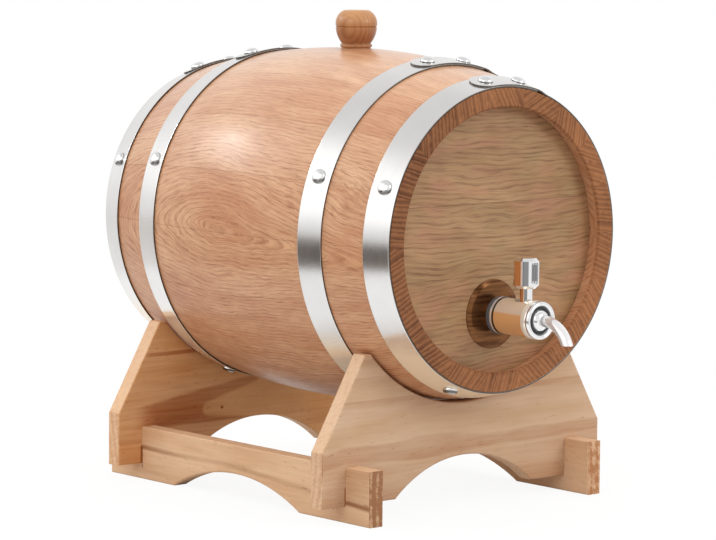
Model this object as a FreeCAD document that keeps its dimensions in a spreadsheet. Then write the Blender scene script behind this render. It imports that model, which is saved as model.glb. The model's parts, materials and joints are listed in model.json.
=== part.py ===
import FreeCAD, Part
import math
import os

import Sketcher
from FreeCAD import Placement, Rotation, Vector

# Oak cask liquor dispenser on a pine cradle, in millimetres.
# +Z is up, the tap looks along -Y, and X = 0 is the plane of symmetry.
# The origin is the middle of the underside of the whole object.

doc = FreeCAD.newDocument("OakCaskDispenser")
sheet = doc.addObject("Spreadsheet::Sheet", "Sizes")
size_names = []
parts = []
cuts = []


class Size(object):
    """A number together with the spreadsheet formula that gives it."""

    def __init__(self, value, text):
        self.value = float(value)
        self.text = text

    def __add__(self, other):
        return Size(self.value + plain(other), "(%s + %s)" % (self.text, words(other)))

    def __radd__(self, other):
        return Size(plain(other) + self.value, "(%s + %s)" % (words(other), self.text))

    def __sub__(self, other):
        return Size(self.value - plain(other), "(%s - %s)" % (self.text, words(other)))

    def __rsub__(self, other):
        return Size(plain(other) - self.value, "(%s - %s)" % (words(other), self.text))

    def __mul__(self, other):
        return Size(self.value * plain(other), "(%s * %s)" % (self.text, words(other)))

    def __rmul__(self, other):
        return Size(plain(other) * self.value, "(%s * %s)" % (words(other), self.text))

    def __truediv__(self, other):
        return Size(self.value / plain(other), "(%s / %s)" % (self.text, words(other)))

    def __rtruediv__(self, other):
        return Size(plain(other) / self.value, "(%s / %s)" % (words(other), self.text))

    def __neg__(self):
        return Size(-self.value, "(0 - %s)" % self.text)


def plain(item):
    if isinstance(item, Size):
        return item.value
    return float(item)


def words(item):
    if isinstance(item, Size):
        return item.text
    if item < 0:
        return "(0 - %.9g)" % (-item)
    return "%.9g" % item


def root(item):
    return Size(math.sqrt(plain(item)), "sqrt(%s)" % words(item))


def sine(degrees):
    return Size(math.sin(math.radians(plain(degrees))), "sin(%s)" % words(degrees))


def cosine(degrees):
    return Size(math.cos(math.radians(plain(degrees))), "cos(%s)" % words(degrees))


def turn_of(opposite, adjacent):
    """The angle, in degrees, of a right triangle with these two sides."""
    value = math.degrees(math.atan2(plain(opposite), plain(adjacent)))
    return Size(value, "(atan(%s / %s) / 1 deg)" % (words(opposite), words(adjacent)))


def size(name, number):
    row = len(size_names) + 1
    size_names.append(name)
    sheet.set("A%d" % row, name)
    sheet.set("B%d" % row, str(number))
    sheet.setAlias("B%d" % row, name)
    sheet.recompute()
    return Size(float(sheet.get(name)), "Sizes." + name)


# ---------------------------------------------------------------- sizes
# Cask
stave_count = size("stave_count", 18)
cask_length = size("cask_length", 272)
end_radius = size("end_radius", 91)
belly_radius = size("belly_radius", 109)
stave_wall = size("stave_wall", 12)
stave_gap_turn = size("stave_gap_turn", 0.06)
chime_bevel = size("chime_bevel", 1.5)
axis_height = size("axis_height", 165)
croze_width = size("croze_width", 5)
croze_depth = size("croze_depth", 3)
croze_gap = size("croze_gap", 0.15)

# Heads
head_recess = size("head_recess", 10)
head_wall = size("head_wall", 12)
head_joint = size("head_joint", 22)
board_gap = size("board_gap", 0.12)

# Hoops
hoop_width = size("hoop_width", 18)
hoop_wall = size("hoop_wall", 1)
hoop_gap = size("hoop_gap", 0.15)
end_hoop_inset = size("end_hoop_inset", 0.2)
quarter_hoop_place = size("quarter_hoop_place", 78.3)
lap_turn = size("lap_turn", 28)
lap_front_end = size("lap_front_end", 3)
lap_front_quarter = size("lap_front_quarter", 2)
lap_rear_quarter = size("lap_rear_quarter", -3)
lap_rear_end = size("lap_rear_end", -7)
rivet_turn = size("rivet_turn", 16)
rivet_radius = size("rivet_radius", 4.6)
rivet_height = size("rivet_height", 2.9)
rivet_gap = size("rivet_gap", 0.03)
nail_left = size("nail_left", -68)
nail_step = size("nail_step", 91)

# Bung
bung_knob_radius = size("bung_knob_radius", 12.8)
bung_knob_rise = size("bung_knob_rise", 23.4)
bung_neck_radius = size("bung_neck_radius", 9)
bung_bead = size("bung_bead", 1)
bung_depth = size("bung_depth", 17)
bung_taper = size("bung_taper", 1)
bung_gap = size("bung_gap", 0.25)

# Cradle
plate_inside = size("plate_inside", 93)
plate_wall = size("plate_wall", 11)
foot_half = size("foot_half", 114)
horn_land = size("horn_land", 5.1)
foot_base = size("foot_base", 10)
shoulder_height = size("shoulder_height", 43)
horn_drop = size("horn_drop", 66)
plate_arch_half = size("plate_arch_half", 56)
plate_arch_rise = size("plate_arch_rise", 21.5)
saddle_gap = size("saddle_gap", 0.3)
rail_outside = size("rail_outside", 95.7)
rail_wall = size("rail_wall", 11)
rail_height = size("rail_height", 33.4)
rail_half = size("rail_half", 125)
rail_arch_half = size("rail_arch_half", 60.7)
rail_arch_rise = size("rail_arch_rise", 15.5)
lap_height = size("lap_height", 21.7)
lap_gap = size("lap_gap", 0.1)
edge_round = size("edge_round", 1)

# Tap: distances are from the outer face of the front head
tap_drop = size("tap_drop", 45)
plate_radius = size("plate_radius", 21)
plate_rim = size("plate_rim", 3)
plate_rim_wall = size("plate_rim_wall", 0.5)
plate_face = size("plate_face", 1.4)
plate_boss_radius = size("plate_boss_radius", 8.4)
plate_boss_reach = size("plate_boss_reach", 6.3)
gasket_radius = size("gasket_radius", 11.4)
gasket_wall = size("gasket_wall", 3.5)
shank_radius = size("shank_radius", 6)
shank_gap = size("shank_gap", 0.15)
shank_bore = size("shank_bore", 3)
shank_inside = size("shank_inside", 26)
inner_gasket_radius = size("inner_gasket_radius", 9.5)
inner_gasket_wall = size("inner_gasket_wall", 2.5)
nut_flats = size("nut_flats", 20)
nut_wall = size("nut_wall", 6)
flange_radius = size("flange_radius", 11.4)
flange_wall = size("flange_wall", 2)
barrel_radius = size("barrel_radius", 11)
barrel_end = size("barrel_end", 39.5)
seat_place = size("seat_place", 14)
chamber_radius = size("chamber_radius", 6.8)
chamber_end = size("chamber_end", 23)
barrel_bore = size("barrel_bore", 8)
sleeve_bore = size("sleeve_bore", 5.6)
sleeve_gap = size("sleeve_gap", 0.05)
collar_radius = size("collar_radius", 11.6)
collar_end = size("collar_end", 43.2)
collar_spigot = size("collar_spigot", 2)
collar_ring_bore = size("collar_ring_bore", 8.5)
collar_ring_depth = size("collar_ring_depth", 1.6)
dome_radius = size("dome_radius", 6.3)
dome_reach = size("dome_reach", 44.6)
spring_pocket_radius = size("spring_pocket_radius", 4.6)
spring_pocket_end = size("spring_pocket_end", 41)
spout_radius = size("spout_radius", 3.5)
spout_wall = size("spout_wall", 0.8)
spout_gap = size("spout_gap", 0.02)
spout_bend_place = size("spout_bend_place", 46)
spout_bend_radius = size("spout_bend_radius", 20)
spout_drop = size("spout_drop", 12.5)

# Lever
lever_place = size("lever_place", 29.4)
pivot_rise = size("pivot_rise", 4.5)
stem_radius = size("stem_radius", 3.8)
stem_gap = size("stem_gap", 0.25)
slot_rear_reach = size("slot_rear_reach", 8)
knob_base = size("knob_base", 13.8)
knob_rise = size("knob_rise", 18.2)
knob_radius = size("knob_radius", 7.75)
knob_edge = size("knob_edge", 1.6)
flute_count = size("flute_count", 8)
flute_width = size("flute_width", 3.4)
flute_depth = size("flute_depth", 0.9)
flute_margin = size("flute_margin", 2.6)
spigot_radius = size("spigot_radius", 2.5)
spigot_rise = size("spigot_rise", 7)
finger_reach = size("finger_reach", 7)
finger_radius = size("finger_radius", 1.3)
finger_tip_radius = size("finger_tip_radius", 2)
pin_radius = size("pin_radius", 1.25)
pin_half = size("pin_half", 5.2)
pin_gap = size("pin_gap", 0.05)

# Plunger and its spring
seal_wall = size("seal_wall", 2)
seal_radius = size("seal_radius", 5.2)
seal_stub_radius = size("seal_stub_radius", 1.4)
disc_wall = size("disc_wall", 2)
rod_radius = size("rod_radius", 2.5)
yoke_radius = size("yoke_radius", 5.4)
yoke_start = size("yoke_start", 22.6)
yoke_end = size("yoke_end", 33.4)
yoke_top = size("yoke_top", 0.6)
yoke_slot_gap = size("yoke_slot_gap", 0.25)
thrust_radius = size("thrust_radius", 4.3)
thrust_wall = size("thrust_wall", 1)
spring_radius = size("spring_radius", 3.7)
spring_wire = size("spring_wire", 0.35)
spring_turns = size("spring_turns", 4)
spring_end_gap = size("spring_end_gap", 0.05)

doc.recompute()


# ------------------------------------------------------- shared lengths
def bilge(middle, end, along):
    """Radius of a curve that bulges from end at the chimes to middle."""
    half = cask_length / 2
    sag = middle - end
    curve = (half * half + sag * sag) / (2 * sag)
    return middle - curve + root(curve * curve - along * along)


half_length = cask_length / 2
inner_end = end_radius - stave_wall
inner_belly = belly_radius - stave_wall
head_face = half_length - head_recess
croze_place = head_face - head_wall / 2
end_hoop_place = half_length - end_hoop_inset - hoop_width / 2

# The spout reaches furthest forward and the rear chime furthest back.
tube_outer = spout_bend_radius + spout_radius
tube_fall = spout_bend_radius - spout_drop
spout_reach = spout_bend_place + root(tube_outer * tube_outer - tube_fall * tube_fall)
cask_shift = (spout_reach + head_face - half_length) / 2
tap_height = axis_height - tap_drop
tap_face = cask_shift - head_face
sector = 360 / stave_count


# -------------------------------------------------------------- helpers
def new_body(label):
    body = doc.addObject("PartDesign::Body", label)
    body.Label = label
    parts.append(body)
    return body


def plane_of(body, role):
    for feature in body.Origin.OriginFeatures:
        if feature.Role == role:
            return feature
    raise ValueError(role)


def bind(item, field, amount):
    if isinstance(amount, Size):
        item.setExpression(field, amount.text)


def pin_point(sketch, geometry, spot, x, y):
    for kind, amount, axis in (("DistanceX", x, -2), ("DistanceY", y, -1)):
        if not isinstance(amount, Size) and abs(amount) < 1e-9:
            rule = Sketcher.Constraint("PointOnObject", geometry, spot, axis)
            sketch.addConstraint(rule)
            continue
        rule = Sketcher.Constraint(kind, geometry, spot, plain(amount))
        index = sketch.addConstraint(rule)
        if isinstance(amount, Size):
            label = "k%d" % index
            sketch.renameConstraint(index, label)
            sketch.setExpression("Constraints." + label, amount.text)


def new_sketch(body, name, role, shift=None):
    sketch = body.newObject("Sketcher::SketchObject", name)
    sketch.AttachmentSupport = [(plane_of(body, role), "")]
    sketch.MapMode = "FlatFace"
    if shift is not None:
        sketch.AttachmentOffset = Placement(Vector(0, 0, plain(shift)), Rotation())
        bind(sketch, "AttachmentOffset.Base.z", shift)
    return sketch


def draw_loop(sketch, corners):
    """Closed outline. A corner is (x, y), or (x, y, through_x, through_y)
    where the side that ends there is an arc through the second point."""
    spots = [Vector(plain(c[0]), plain(c[1]), 0) for c in corners]
    starts = []
    ends = []
    for index in range(len(corners)):
        here = spots[index - 1]
        there = spots[index]
        corner = corners[index]
        if len(corner) == 4:
            through = Vector(plain(corner[2]), plain(corner[3]), 0)
            side = sketch.addGeometry(Part.Arc(here, through, there), False)
            mark = sketch.addGeometry(Part.Point(through), True)
            pin_point(sketch, mark, 1, corner[2], corner[3])
            rule = Sketcher.Constraint("PointOnObject", mark, 1, side)
            sketch.addConstraint(rule)
        else:
            side = sketch.addGeometry(Part.LineSegment(here, there), False)
        if sketch.getPoint(side, 1).distanceToPoint(here) < 1e-4:
            starts.append((side, 1))
            ends.append((side, 2))
        else:
            starts.append((side, 2))
            ends.append((side, 1))
    for index in range(len(corners)):
        after = (index + 1) % len(corners)
        rule = Sketcher.Constraint("Coincident", ends[index][0], ends[index][1],
                                   starts[after][0], starts[after][1])
        sketch.addConstraint(rule)
        pin_point(sketch, ends[index][0], ends[index][1],
                  corners[index][0], corners[index][1])


def draw_circle(sketch, x, y, radius):
    centre = Vector(plain(x), plain(y), 0)
    ring = sketch.addGeometry(Part.Circle(centre, Vector(0, 0, 1), plain(radius)), False)
    pin_point(sketch, ring, 3, x, y)
    index = sketch.addConstraint(Sketcher.Constraint("Radius", ring, plain(radius)))
    if isinstance(radius, Size):
        label = "k%d" % index
        sketch.renameConstraint(index, label)
        sketch.setExpression("Constraints." + label, radius.text)


def box_loop(low_x, high_x, low_y, high_y):
    return [(low_x, low_y), (high_x, low_y), (high_x, high_y), (low_x, high_y)]


def spin(body, name, sketch, axis, turn=360, kind="PartDesign::Revolution", middle=False):
    feature = body.newObject(kind, name)
    feature.Profile = sketch
    feature.ReferenceAxis = (sketch, [axis])
    feature.Angle = plain(turn)
    bind(feature, "Angle", turn)
    feature.Midplane = middle
    body.Tip = feature
    if kind == "PartDesign::Groove":
        cuts.append(feature)
    return feature


def pad(body, name, sketch, length):
    feature = body.newObject("PartDesign::Pad", name)
    feature.Profile = sketch
    feature.Length = plain(length)
    bind(feature, "Length", length)
    body.Tip = feature
    return feature


def pocket(body, name, sketch, length=None):
    """A cut of this length on both sides of its sketch, or right through."""
    feature = body.newObject("PartDesign::Pocket", name)
    feature.Profile = sketch
    feature.SideType = "Symmetric"
    if length is None:
        feature.Type = "ThroughAll"
    else:
        feature.Type = "Length"
        feature.Length = plain(length)
        bind(feature, "Length", length)
    body.Tip = feature
    cuts.append(feature)
    return feature


def place(item, x, y, z, axis=None, turn=None):
    rotation = Rotation()
    if axis is not None:
        rotation = Rotation(axis, plain(turn))
    item.Placement = Placement(Vector(plain(x), plain(y), plain(z)), rotation)
    bind(item, ".Placement.Base.x", x)
    bind(item, ".Placement.Base.y", y)
    bind(item, ".Placement.Base.z", z)
    if axis is not None:
        bind(item, ".Placement.Rotation.Angle", turn)


def turned(label, corners, x, y, z):
    """A piece turned on the Y axis from an outline of (along, radius)."""
    body = new_body(label)
    sketch = new_sketch(body, label + "_outline", "YZ_Plane")
    draw_loop(sketch, corners)
    spin(body, label + "_turned", sketch, "H_Axis")
    place(body, x, y, z)
    return body


def turned_up(label, corners, x, y, z):
    """A piece turned on the Z axis from an outline of (radius, height)."""
    body = new_body(label)
    sketch = new_sketch(body, label + "_outline", "YZ_Plane")
    draw_loop(sketch, corners)
    spin(body, label + "_turned", sketch, "V_Axis")
    place(body, x, y, z)
    return body


def round_face_edges(body, name, axis, radius):
    """Rounds the rim edges of the two broad faces, which lie across axis."""
    base = body.Tip
    doc.recompute()
    chosen = []
    for index, edge in enumerate(base.Shape.Edges):
        box = edge.BoundBox
        spread = (box.XLength, box.YLength, box.ZLength)[axis]
        if spread < 1e-4:
            chosen.append("Edge%d" % (index + 1))
    feature = body.newObject("PartDesign::Fillet", name)
    feature.Base = (base, chosen)
    feature.Radius = plain(radius)
    bind(feature, "Radius", radius)
    body.Tip = feature
    return feature


# --------------------------------------------------------------- staves
# Each stave is one sector of the barrel, turned about the cask's axis,
# with a bevelled chime and a croze groove near each end for the heads.
bevel_in = half_length - chime_bevel
stave_corners = [
    (-half_length, inner_end + chime_bevel),
    (-half_length, end_radius),
    (half_length, end_radius, 0, belly_radius),
    (half_length, inner_end + chime_bevel),
    (bevel_in, bilge(inner_belly, inner_end, bevel_in)),
    (-bevel_in, bilge(inner_belly, inner_end, bevel_in), 0, inner_belly),
]
croze_floor = bilge(inner_belly, inner_end, croze_place) + croze_depth
croze_mouth = inner_end - croze_depth


def make_stave(number):
    body = new_body("stave_%02d" % (number + 1))
    sketch = new_sketch(body, "stave_outline_%02d" % (number + 1), "YZ_Plane")
    draw_loop(sketch, stave_corners)
    spin(body, "stave_turned_%02d" % (number + 1), sketch, "H_Axis",
         sector - stave_gap_turn, middle=True)
    for side, word in ((-1, "front"), (1, "rear")):
        groove = new_sketch(body, "croze_%s_%02d" % (word, number + 1), "YZ_Plane")
        near = croze_place * side - croze_width / 2
        far = croze_place * side + croze_width / 2
        draw_loop(groove, box_loop(near, far, croze_mouth, croze_floor))
        spin(body, "croze_cut_%s_%02d" % (word, number + 1), groove, "H_Axis",
             kind="PartDesign::Groove")
    place(body, 0, cask_shift, axis_height, Vector(0, 1, 0), sector * number)
    return body


for number in range(int(stave_count.value)):
    stave = make_stave(number)
    if number == 0:
        # The top stave is bored and reamed to a taper for the bung.
        ream = new_sketch(stave, "bung_ream", "YZ_Plane")
        hole_top = bung_neck_radius + bung_gap
        hole_foot = hole_top - bung_taper
        high = belly_radius + 2
        low = belly_radius - bung_depth
        slope = bung_taper / bung_depth
        draw_loop(ream, [
            (0, low),
            (hole_foot, low),
            (hole_top + slope * 2, high),
            (0, high),
        ])
        spin(stave, "bung_hole", ream, "V_Axis", kind="PartDesign::Groove")


# ---------------------------------------------------------------- heads
# A head is three boards side by side, with a tongue round the edge that
# seats in the croze. The lower front board is bored for the tap.
head_fit = bilge(inner_belly, inner_end, head_face) - croze_gap
tongue_fit = croze_floor - croze_gap
tongue_near = (head_wall - croze_width) / 2 + croze_gap
tongue_far = (head_wall + croze_width) / 2 - croze_gap
head_corners = [
    (0, 0),
    (0, head_fit),
    (tongue_near, head_fit),
    (tongue_near, tongue_fit),
    (tongue_far, tongue_fit),
    (tongue_far, head_fit),
    (head_wall, head_fit),
    (head_wall, 0),
]
past_edge = croze_floor * 1.1


def make_board(label, low, high, turn):
    body = new_body(label)
    sketch = new_sketch(body, label + "_outline", "YZ_Plane")
    draw_loop(sketch, head_corners)
    spin(body, label + "_turned", sketch, "H_Axis")
    if low is not None:
        under = new_sketch(body, label + "_under", "XZ_Plane")
        draw_loop(under, box_loop(-past_edge, past_edge, -past_edge, low))
        pocket(body, label + "_lower_cut", under)
    if high is not None:
        over = new_sketch(body, label + "_over", "XZ_Plane")
        draw_loop(over, box_loop(-past_edge, past_edge, high, past_edge))
        pocket(body, label + "_upper_cut", over)
    shift = cask_shift - head_face
    if turn:
        shift = cask_shift + head_face
    place(body, 0, shift, axis_height, Vector(0, 0, 1), turn)
    return body


joint = board_gap / 2
for word, turn in (("front", 0), ("rear", 180)):
    make_board("head_%s_upper" % word, head_joint + joint, None, turn)
    make_board("head_%s_middle" % word, -head_joint + joint, head_joint - joint, turn)
    lower = make_board("head_%s_lower" % word, None, -head_joint - joint, turn)
    if word == "front":
        bore = new_sketch(lower, "tap_bore", "XZ_Plane")
        draw_circle(bore, 0, -tap_drop, shank_radius + shank_gap)
        pocket(lower, "tap_hole", bore)


# ---------------------------------------------------------------- hoops
# A hoop is a strip rolled to the taper of the cask. Its ends overlap in
# a lap, which two rivets hold, and three nails keep it from slipping.
def hoop_radius(along):
    return bilge(belly_radius, end_radius, along) + hoop_gap


def make_hoop(word, side, middle, lap_place):
    body = new_body("hoop_" + word)
    inner = middle - hoop_width / 2
    outer = middle + hoop_width / 2
    near = hoop_radius(inner)
    far = hoop_radius(outer)
    for layer, turn in ((0, 360), (1, lap_turn)):
        name = "%s_%d" % (word, layer)
        sketch = new_sketch(body, "strip_" + name, "YZ_Plane")
        low = hoop_wall * layer
        high = hoop_wall * (layer + 1)
        draw_loop(sketch, [
            (inner * side, near + low),
            (outer * side, far + low),
            (outer * side, far + high),
            (inner * side, near + high),
        ])
        spin(body, "rolled_" + name, sketch, "H_Axis", turn, middle=layer == 1)
    place(body, 0, cask_shift, axis_height, Vector(0, 1, 0), lap_place)


def make_nails(word, side, middle, lap_place):
    """Domed heads of the two lap rivets and the three nails of a hoop."""
    inner = hoop_radius(middle - hoop_width / 2)
    outer = hoop_radius(middle + hoop_width / 2)
    seat = (inner + outer) / 2 + hoop_wall + rivet_gap
    tilt = turn_of(inner - outer, hoop_width)
    ball = (rivet_radius * rivet_radius + rivet_height * rivet_height) / (2 * rivet_height)
    sunk = ball - rivet_height
    heads = []
    turns = [
        (lap_place - rivet_turn / 2, hoop_wall),
        (lap_place + rivet_turn / 2, hoop_wall),
        (nail_left, 0),
        (nail_left - nail_step, 0),
        (nail_left - nail_step * 2, 0),
    ]
    for number, (turn, lift) in enumerate(turns):
        head = doc.addObject("Part::Sphere", "%s_nail_%d" % (word, number + 1))
        head.Radius = ball.value
        bind(head, "Radius", ball)
        low = turn_of(sunk, rivet_radius)
        head.Angle1 = low.value
        bind(head, "Angle1", low)
        reach = seat + lift - sunk * cosine(tilt)
        drift = (middle - sunk * sine(tilt)) * side
        round_axis = Placement(Vector(), Rotation(Vector(0, 1, 0), plain(turn)))
        lean = Rotation(Vector(1, 0, 0), -side * tilt.value)
        out = Placement(Vector(0, drift.value, reach.value), lean)
        head.Placement = round_axis.multiply(out)
        spin_text = "create(<<placement>>; create(<<vector>>; 0; 0; 0); "
        spin_text += "create(<<rotation>>; create(<<vector>>; 0; 1; 0); %s))" % turn.text
        out_text = "create(<<placement>>; create(<<vector>>; 0; %s; %s); "
        out_text = out_text % (drift.text, reach.text)
        lean_text = "create(<<rotation>>; create(<<vector>>; 1; 0; 0); %s))"
        lean_text = lean_text % (tilt * -side).text
        head.setExpression("Placement", spin_text + " * " + out_text + lean_text)
        heads.append(head)
    group = doc.addObject("Part::Compound", "nails_" + word)
    group.Label = "nails_" + word
    group.Links = heads
    parts.append(group)
    place(group, 0, cask_shift, axis_height)


for word, side, middle, lap_place in (
        ("front_end", -1, end_hoop_place, lap_front_end),
        ("front_quarter", -1, quarter_hoop_place, lap_front_quarter),
        ("rear_quarter", 1, quarter_hoop_place, lap_rear_quarter),
        ("rear_end", 1, end_hoop_place, lap_rear_end)):
    make_hoop(word, side, middle, lap_place)
    make_nails(word, side, middle, lap_place)


# ----------------------------------------------------------------- bung
# A turned knob with a scored line round its widest part, a bead, and a
# tapered shank that plugs the hole in the top stave.
knob_middle = bung_knob_rise * 0.57
plug_slope = bung_taper / bung_depth
turned_up("bung", [
    (0, -bung_depth + 1),
    (bung_neck_radius - plug_slope * (bung_depth - 1), -bung_depth + 1),
    (bung_neck_radius, 0),
    (bung_neck_radius, 0.5),
    (bung_neck_radius + 0.2, 2.5, bung_neck_radius + bung_bead, 1.5),
    (bung_neck_radius + 0.2, 3.2),
    (bung_knob_radius, knob_middle - 0.5,
     bung_neck_radius + (bung_knob_radius - bung_neck_radius) * 0.72, knob_middle * 0.58),
    (bung_knob_radius - 0.6, knob_middle),
    (bung_knob_radius, knob_middle + 0.5),
    (bung_knob_radius * 0.6, bung_knob_rise,
     bung_knob_radius * 0.9, knob_middle + (bung_knob_rise - knob_middle) * 0.68),
    (0, bung_knob_rise),
], 0, cask_shift, axis_height + belly_radius)


# --------------------------------------------------------------- cradle
# Two saddle plates cross two rails in half laps.
saddle_radius = bilge(belly_radius, end_radius, plate_inside) + saddle_gap
saddle_half = root(saddle_radius * saddle_radius - horn_drop * horn_drop)
horn_half = saddle_half + horn_land
horn_height = axis_height - horn_drop
notch_low = rail_outside - rail_wall - lap_gap
notch_high = rail_outside + lap_gap

for word, back in (("front", -plate_inside), ("rear", plate_inside + plate_wall)):
    label = "plate_" + word
    plate = new_body(label)
    outline = new_sketch(plate, label + "_outline", "XZ_Plane")
    draw_loop(outline, [
        (-foot_half, foot_base),
        (-foot_half, shoulder_height),
        (-horn_half, horn_height),
        (-saddle_half, horn_height),
        (saddle_half, horn_height, 0, axis_height - saddle_radius),
        (horn_half, horn_height),
        (foot_half, shoulder_height),
        (foot_half, foot_base),
        (plate_arch_half, foot_base),
        (-plate_arch_half, foot_base, 0, foot_base + plate_arch_rise),
    ])
    pad(plate, label + "_board", outline, plate_wall)
    round_face_edges(plate, label + "_rounding", 1, edge_round)
    for side, name in ((-1, "left"), (1, "right")):
        notch = new_sketch(plate, "%s_%s_notch" % (label, name), "XZ_Plane")
        edges = sorted([notch_low * side, notch_high * side], key=plain)
        low = foot_base - 5
        draw_loop(notch, box_loop(edges[0], edges[1], low, lap_height + lap_gap / 2))
        pocket(plate, "%s_%s_lap" % (label, name), notch)
    place(plate, 0, cask_shift + back, 0)

for word, base in (("left", -rail_outside), ("right", rail_outside - rail_wall)):
    label = "rail_" + word
    rail = new_body(label)
    outline = new_sketch(rail, label + "_outline", "YZ_Plane")
    draw_loop(outline, [
        (-rail_half, 0),
        (-rail_half, rail_height),
        (rail_half, rail_height),
        (rail_half, 0),
        (rail_arch_half, 0),
        (-rail_arch_half, 0, 0, rail_arch_rise),
    ])
    pad(rail, label + "_board", outline, rail_wall)
    round_face_edges(rail, label + "_rounding", 0, edge_round)
    for side, name in ((-1, "front"), (1, "rear")):
        notch = new_sketch(rail, "%s_%s_notch" % (label, name), "YZ_Plane")
        edges = sorted([(plate_inside - lap_gap) * side,
                        (plate_inside + plate_wall + lap_gap) * side], key=plain)
        high = rail_height + 5
        draw_loop(notch, box_loop(edges[0], edges[1], lap_height - lap_gap / 2, high))
        pocket(rail, "%s_%s_lap" % (label, name), notch)
    place(rail, base, cask_shift, 0)


# ------------------------------------------------------------------ tap
# The tap lies on its own axis below the middle of the front head. In
# these outlines the along direction is -Y, away from the head.
def forward(corners):
    turned_corners = []
    for corner in corners:
        if len(corner) == 4:
            turned_corners.append((-corner[0], corner[1], -corner[2], corner[3]))
        else:
            turned_corners.append((-corner[0], corner[1]))
    return turned_corners


fit_bore = shank_radius + shank_gap
turned("tap_wall_plate", forward([
    (Size(0, "0"), fit_bore),
    (Size(0, "0"), plate_radius),
    (plate_rim_wall, plate_radius),
    (plate_face, plate_radius - plate_rim),
    (plate_face, plate_boss_radius),
    (plate_boss_reach, plate_boss_radius),
    (plate_boss_reach, fit_bore),
]), 0, tap_face, tap_height)

gasket_end = plate_boss_reach + gasket_wall
turned("tap_gasket_outer", forward([
    (plate_boss_reach, fit_bore),
    (plate_boss_reach, gasket_radius - 0.5),
    (plate_boss_reach + 0.5, gasket_radius),
    (gasket_end - 0.5, gasket_radius),
    (gasket_end, gasket_radius - 0.5),
    (gasket_end, fit_bore),
]), 0, tap_face, tap_height)

inner_gasket_end = head_wall + inner_gasket_wall
turned("tap_gasket_inner", forward([
    (-head_wall, fit_bore),
    (-head_wall, inner_gasket_radius),
    (-inner_gasket_end, inner_gasket_radius),
    (-inner_gasket_end, fit_bore),
]), 0, tap_face, tap_height)

# Hexagonal lock nut on the shank, inside the cask
nut = new_body("tap_lock_nut")
nut_outline = new_sketch(nut, "tap_lock_nut_outline", "XZ_Plane", inner_gasket_end * -1)
nut_corner = nut_flats / root(3)
draw_loop(nut_outline, [
    (nut_corner, 0),
    (nut_corner / 2, nut_flats / 2),
    (-nut_corner / 2, nut_flats / 2),
    (-nut_corner, 0),
    (-nut_corner / 2, -nut_flats / 2),
    (nut_corner / 2, -nut_flats / 2),
])
draw_circle(nut_outline, 0, 0, fit_bore)
nut_pad = pad(nut, "tap_lock_nut_body", nut_outline, nut_wall)
nut_pad.Reversed = True
place(nut, 0, tap_face, tap_height)

# Shank, flange and barrel in one turned piece, bored from the front
flange_end = gasket_end + flange_wall
tap_body = turned("tap_body", forward([
    (-shank_inside, shank_bore),
    (-shank_inside, shank_radius),
    (gasket_end, shank_radius),
    (gasket_end, flange_radius),
    (flange_end, flange_radius),
    (flange_end, barrel_radius - 0.5),
    (flange_end + 0.5, barrel_radius - 0.5),
    (flange_end + 0.5, barrel_radius),
    (barrel_end, barrel_radius),
    (barrel_end, barrel_bore),
    (chamber_end, barrel_bore),
    (chamber_end, chamber_radius),
    (seat_place, chamber_radius),
    (seat_place, shank_bore + 0.6),
    (seat_place - 0.6, shank_bore),
]), 0, tap_face, tap_height)

slot_half = stem_radius + stem_gap
slot_front = lever_place + slot_half
slot_rear = lever_place - slot_rear_reach


def cut_lever_slot(body, name, floor):
    """A slot with round ends through the top wall, from floor upwards."""
    sketch = new_sketch(body, name, "XY_Plane", floor)
    draw_loop(sketch, [
        (-slot_half, -(slot_rear + slot_half)),
        (slot_half, -(slot_rear + slot_half), 0, -slot_rear),
        (slot_half, -(slot_front - slot_half)),
        (-slot_half, -(slot_front - slot_half), 0, -slot_front),
    ])
    feature = body.newObject("PartDesign::Pocket", name + "_cut")
    feature.Profile = sketch
    feature.Reversed = True
    feature.Length = barrel_radius.value * 2
    bind(feature, "Length", barrel_radius * 2)
    body.Tip = feature
    cuts.append(feature)


cut_lever_slot(tap_body, "barrel_slot", pivot_rise / 2)

# Sleeve inside the barrel that carries the lever's pin
collar_back = barrel_end - collar_spigot
sleeve_outer = barrel_bore - sleeve_gap
sleeve = turned("tap_sleeve", forward([
    (chamber_end, sleeve_bore),
    (chamber_end, sleeve_outer),
    (collar_back, sleeve_outer),
    (collar_back, sleeve_bore),
]), 0, tap_face, tap_height)
cut_lever_slot(sleeve, "sleeve_slot", pivot_rise / 2)
pin_sketch = new_sketch(sleeve, "sleeve_pin_bore", "YZ_Plane")
draw_circle(pin_sketch, -lever_place, pivot_rise, pin_radius)
pocket(sleeve, "sleeve_pin_hole", pin_sketch)

pin = new_body("lever_pin")
pin_outline = new_sketch(pin, "lever_pin_outline", "YZ_Plane", -pin_half)
draw_circle(pin_outline, 0, 0, pin_radius)
pad(pin, "lever_pin_rod", pin_outline, pin_half * 2)
place(pin, 0, tap_face - lever_place, tap_height + pivot_rise)

# Collar that closes the barrel: a spigot, a rounded ring, a recess and a
# dome that holds the spout. The spring sits in its rear pocket.
ring_floor = collar_end - collar_ring_depth
spout_fit = spout_radius + spout_gap
collar_mid = (barrel_end + collar_end) / 2
dome_edge = collar_end - 0.4
turned("tap_collar", forward([
    (collar_back, spring_pocket_radius),
    (collar_back, sleeve_outer),
    (barrel_end, sleeve_outer),
    (barrel_end, barrel_radius),
    (collar_mid - 1, collar_radius),
    (collar_mid + 0.9, collar_radius),
    (collar_end, collar_radius - 1.4, collar_end - 0.35, collar_radius - 0.45),
    (collar_end, collar_ring_bore + 0.3),
    (collar_end - 0.3, collar_ring_bore),
    (ring_floor, collar_ring_bore),
    (ring_floor, dome_radius),
    (dome_edge, dome_radius),
    (dome_reach, spout_fit, dome_reach - 0.45, (spout_fit + dome_radius) / 2 + 0.45),
    (spring_pocket_end, spout_fit),
    (spring_pocket_end, spring_pocket_radius),
]), 0, tap_face, tap_height)

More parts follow.
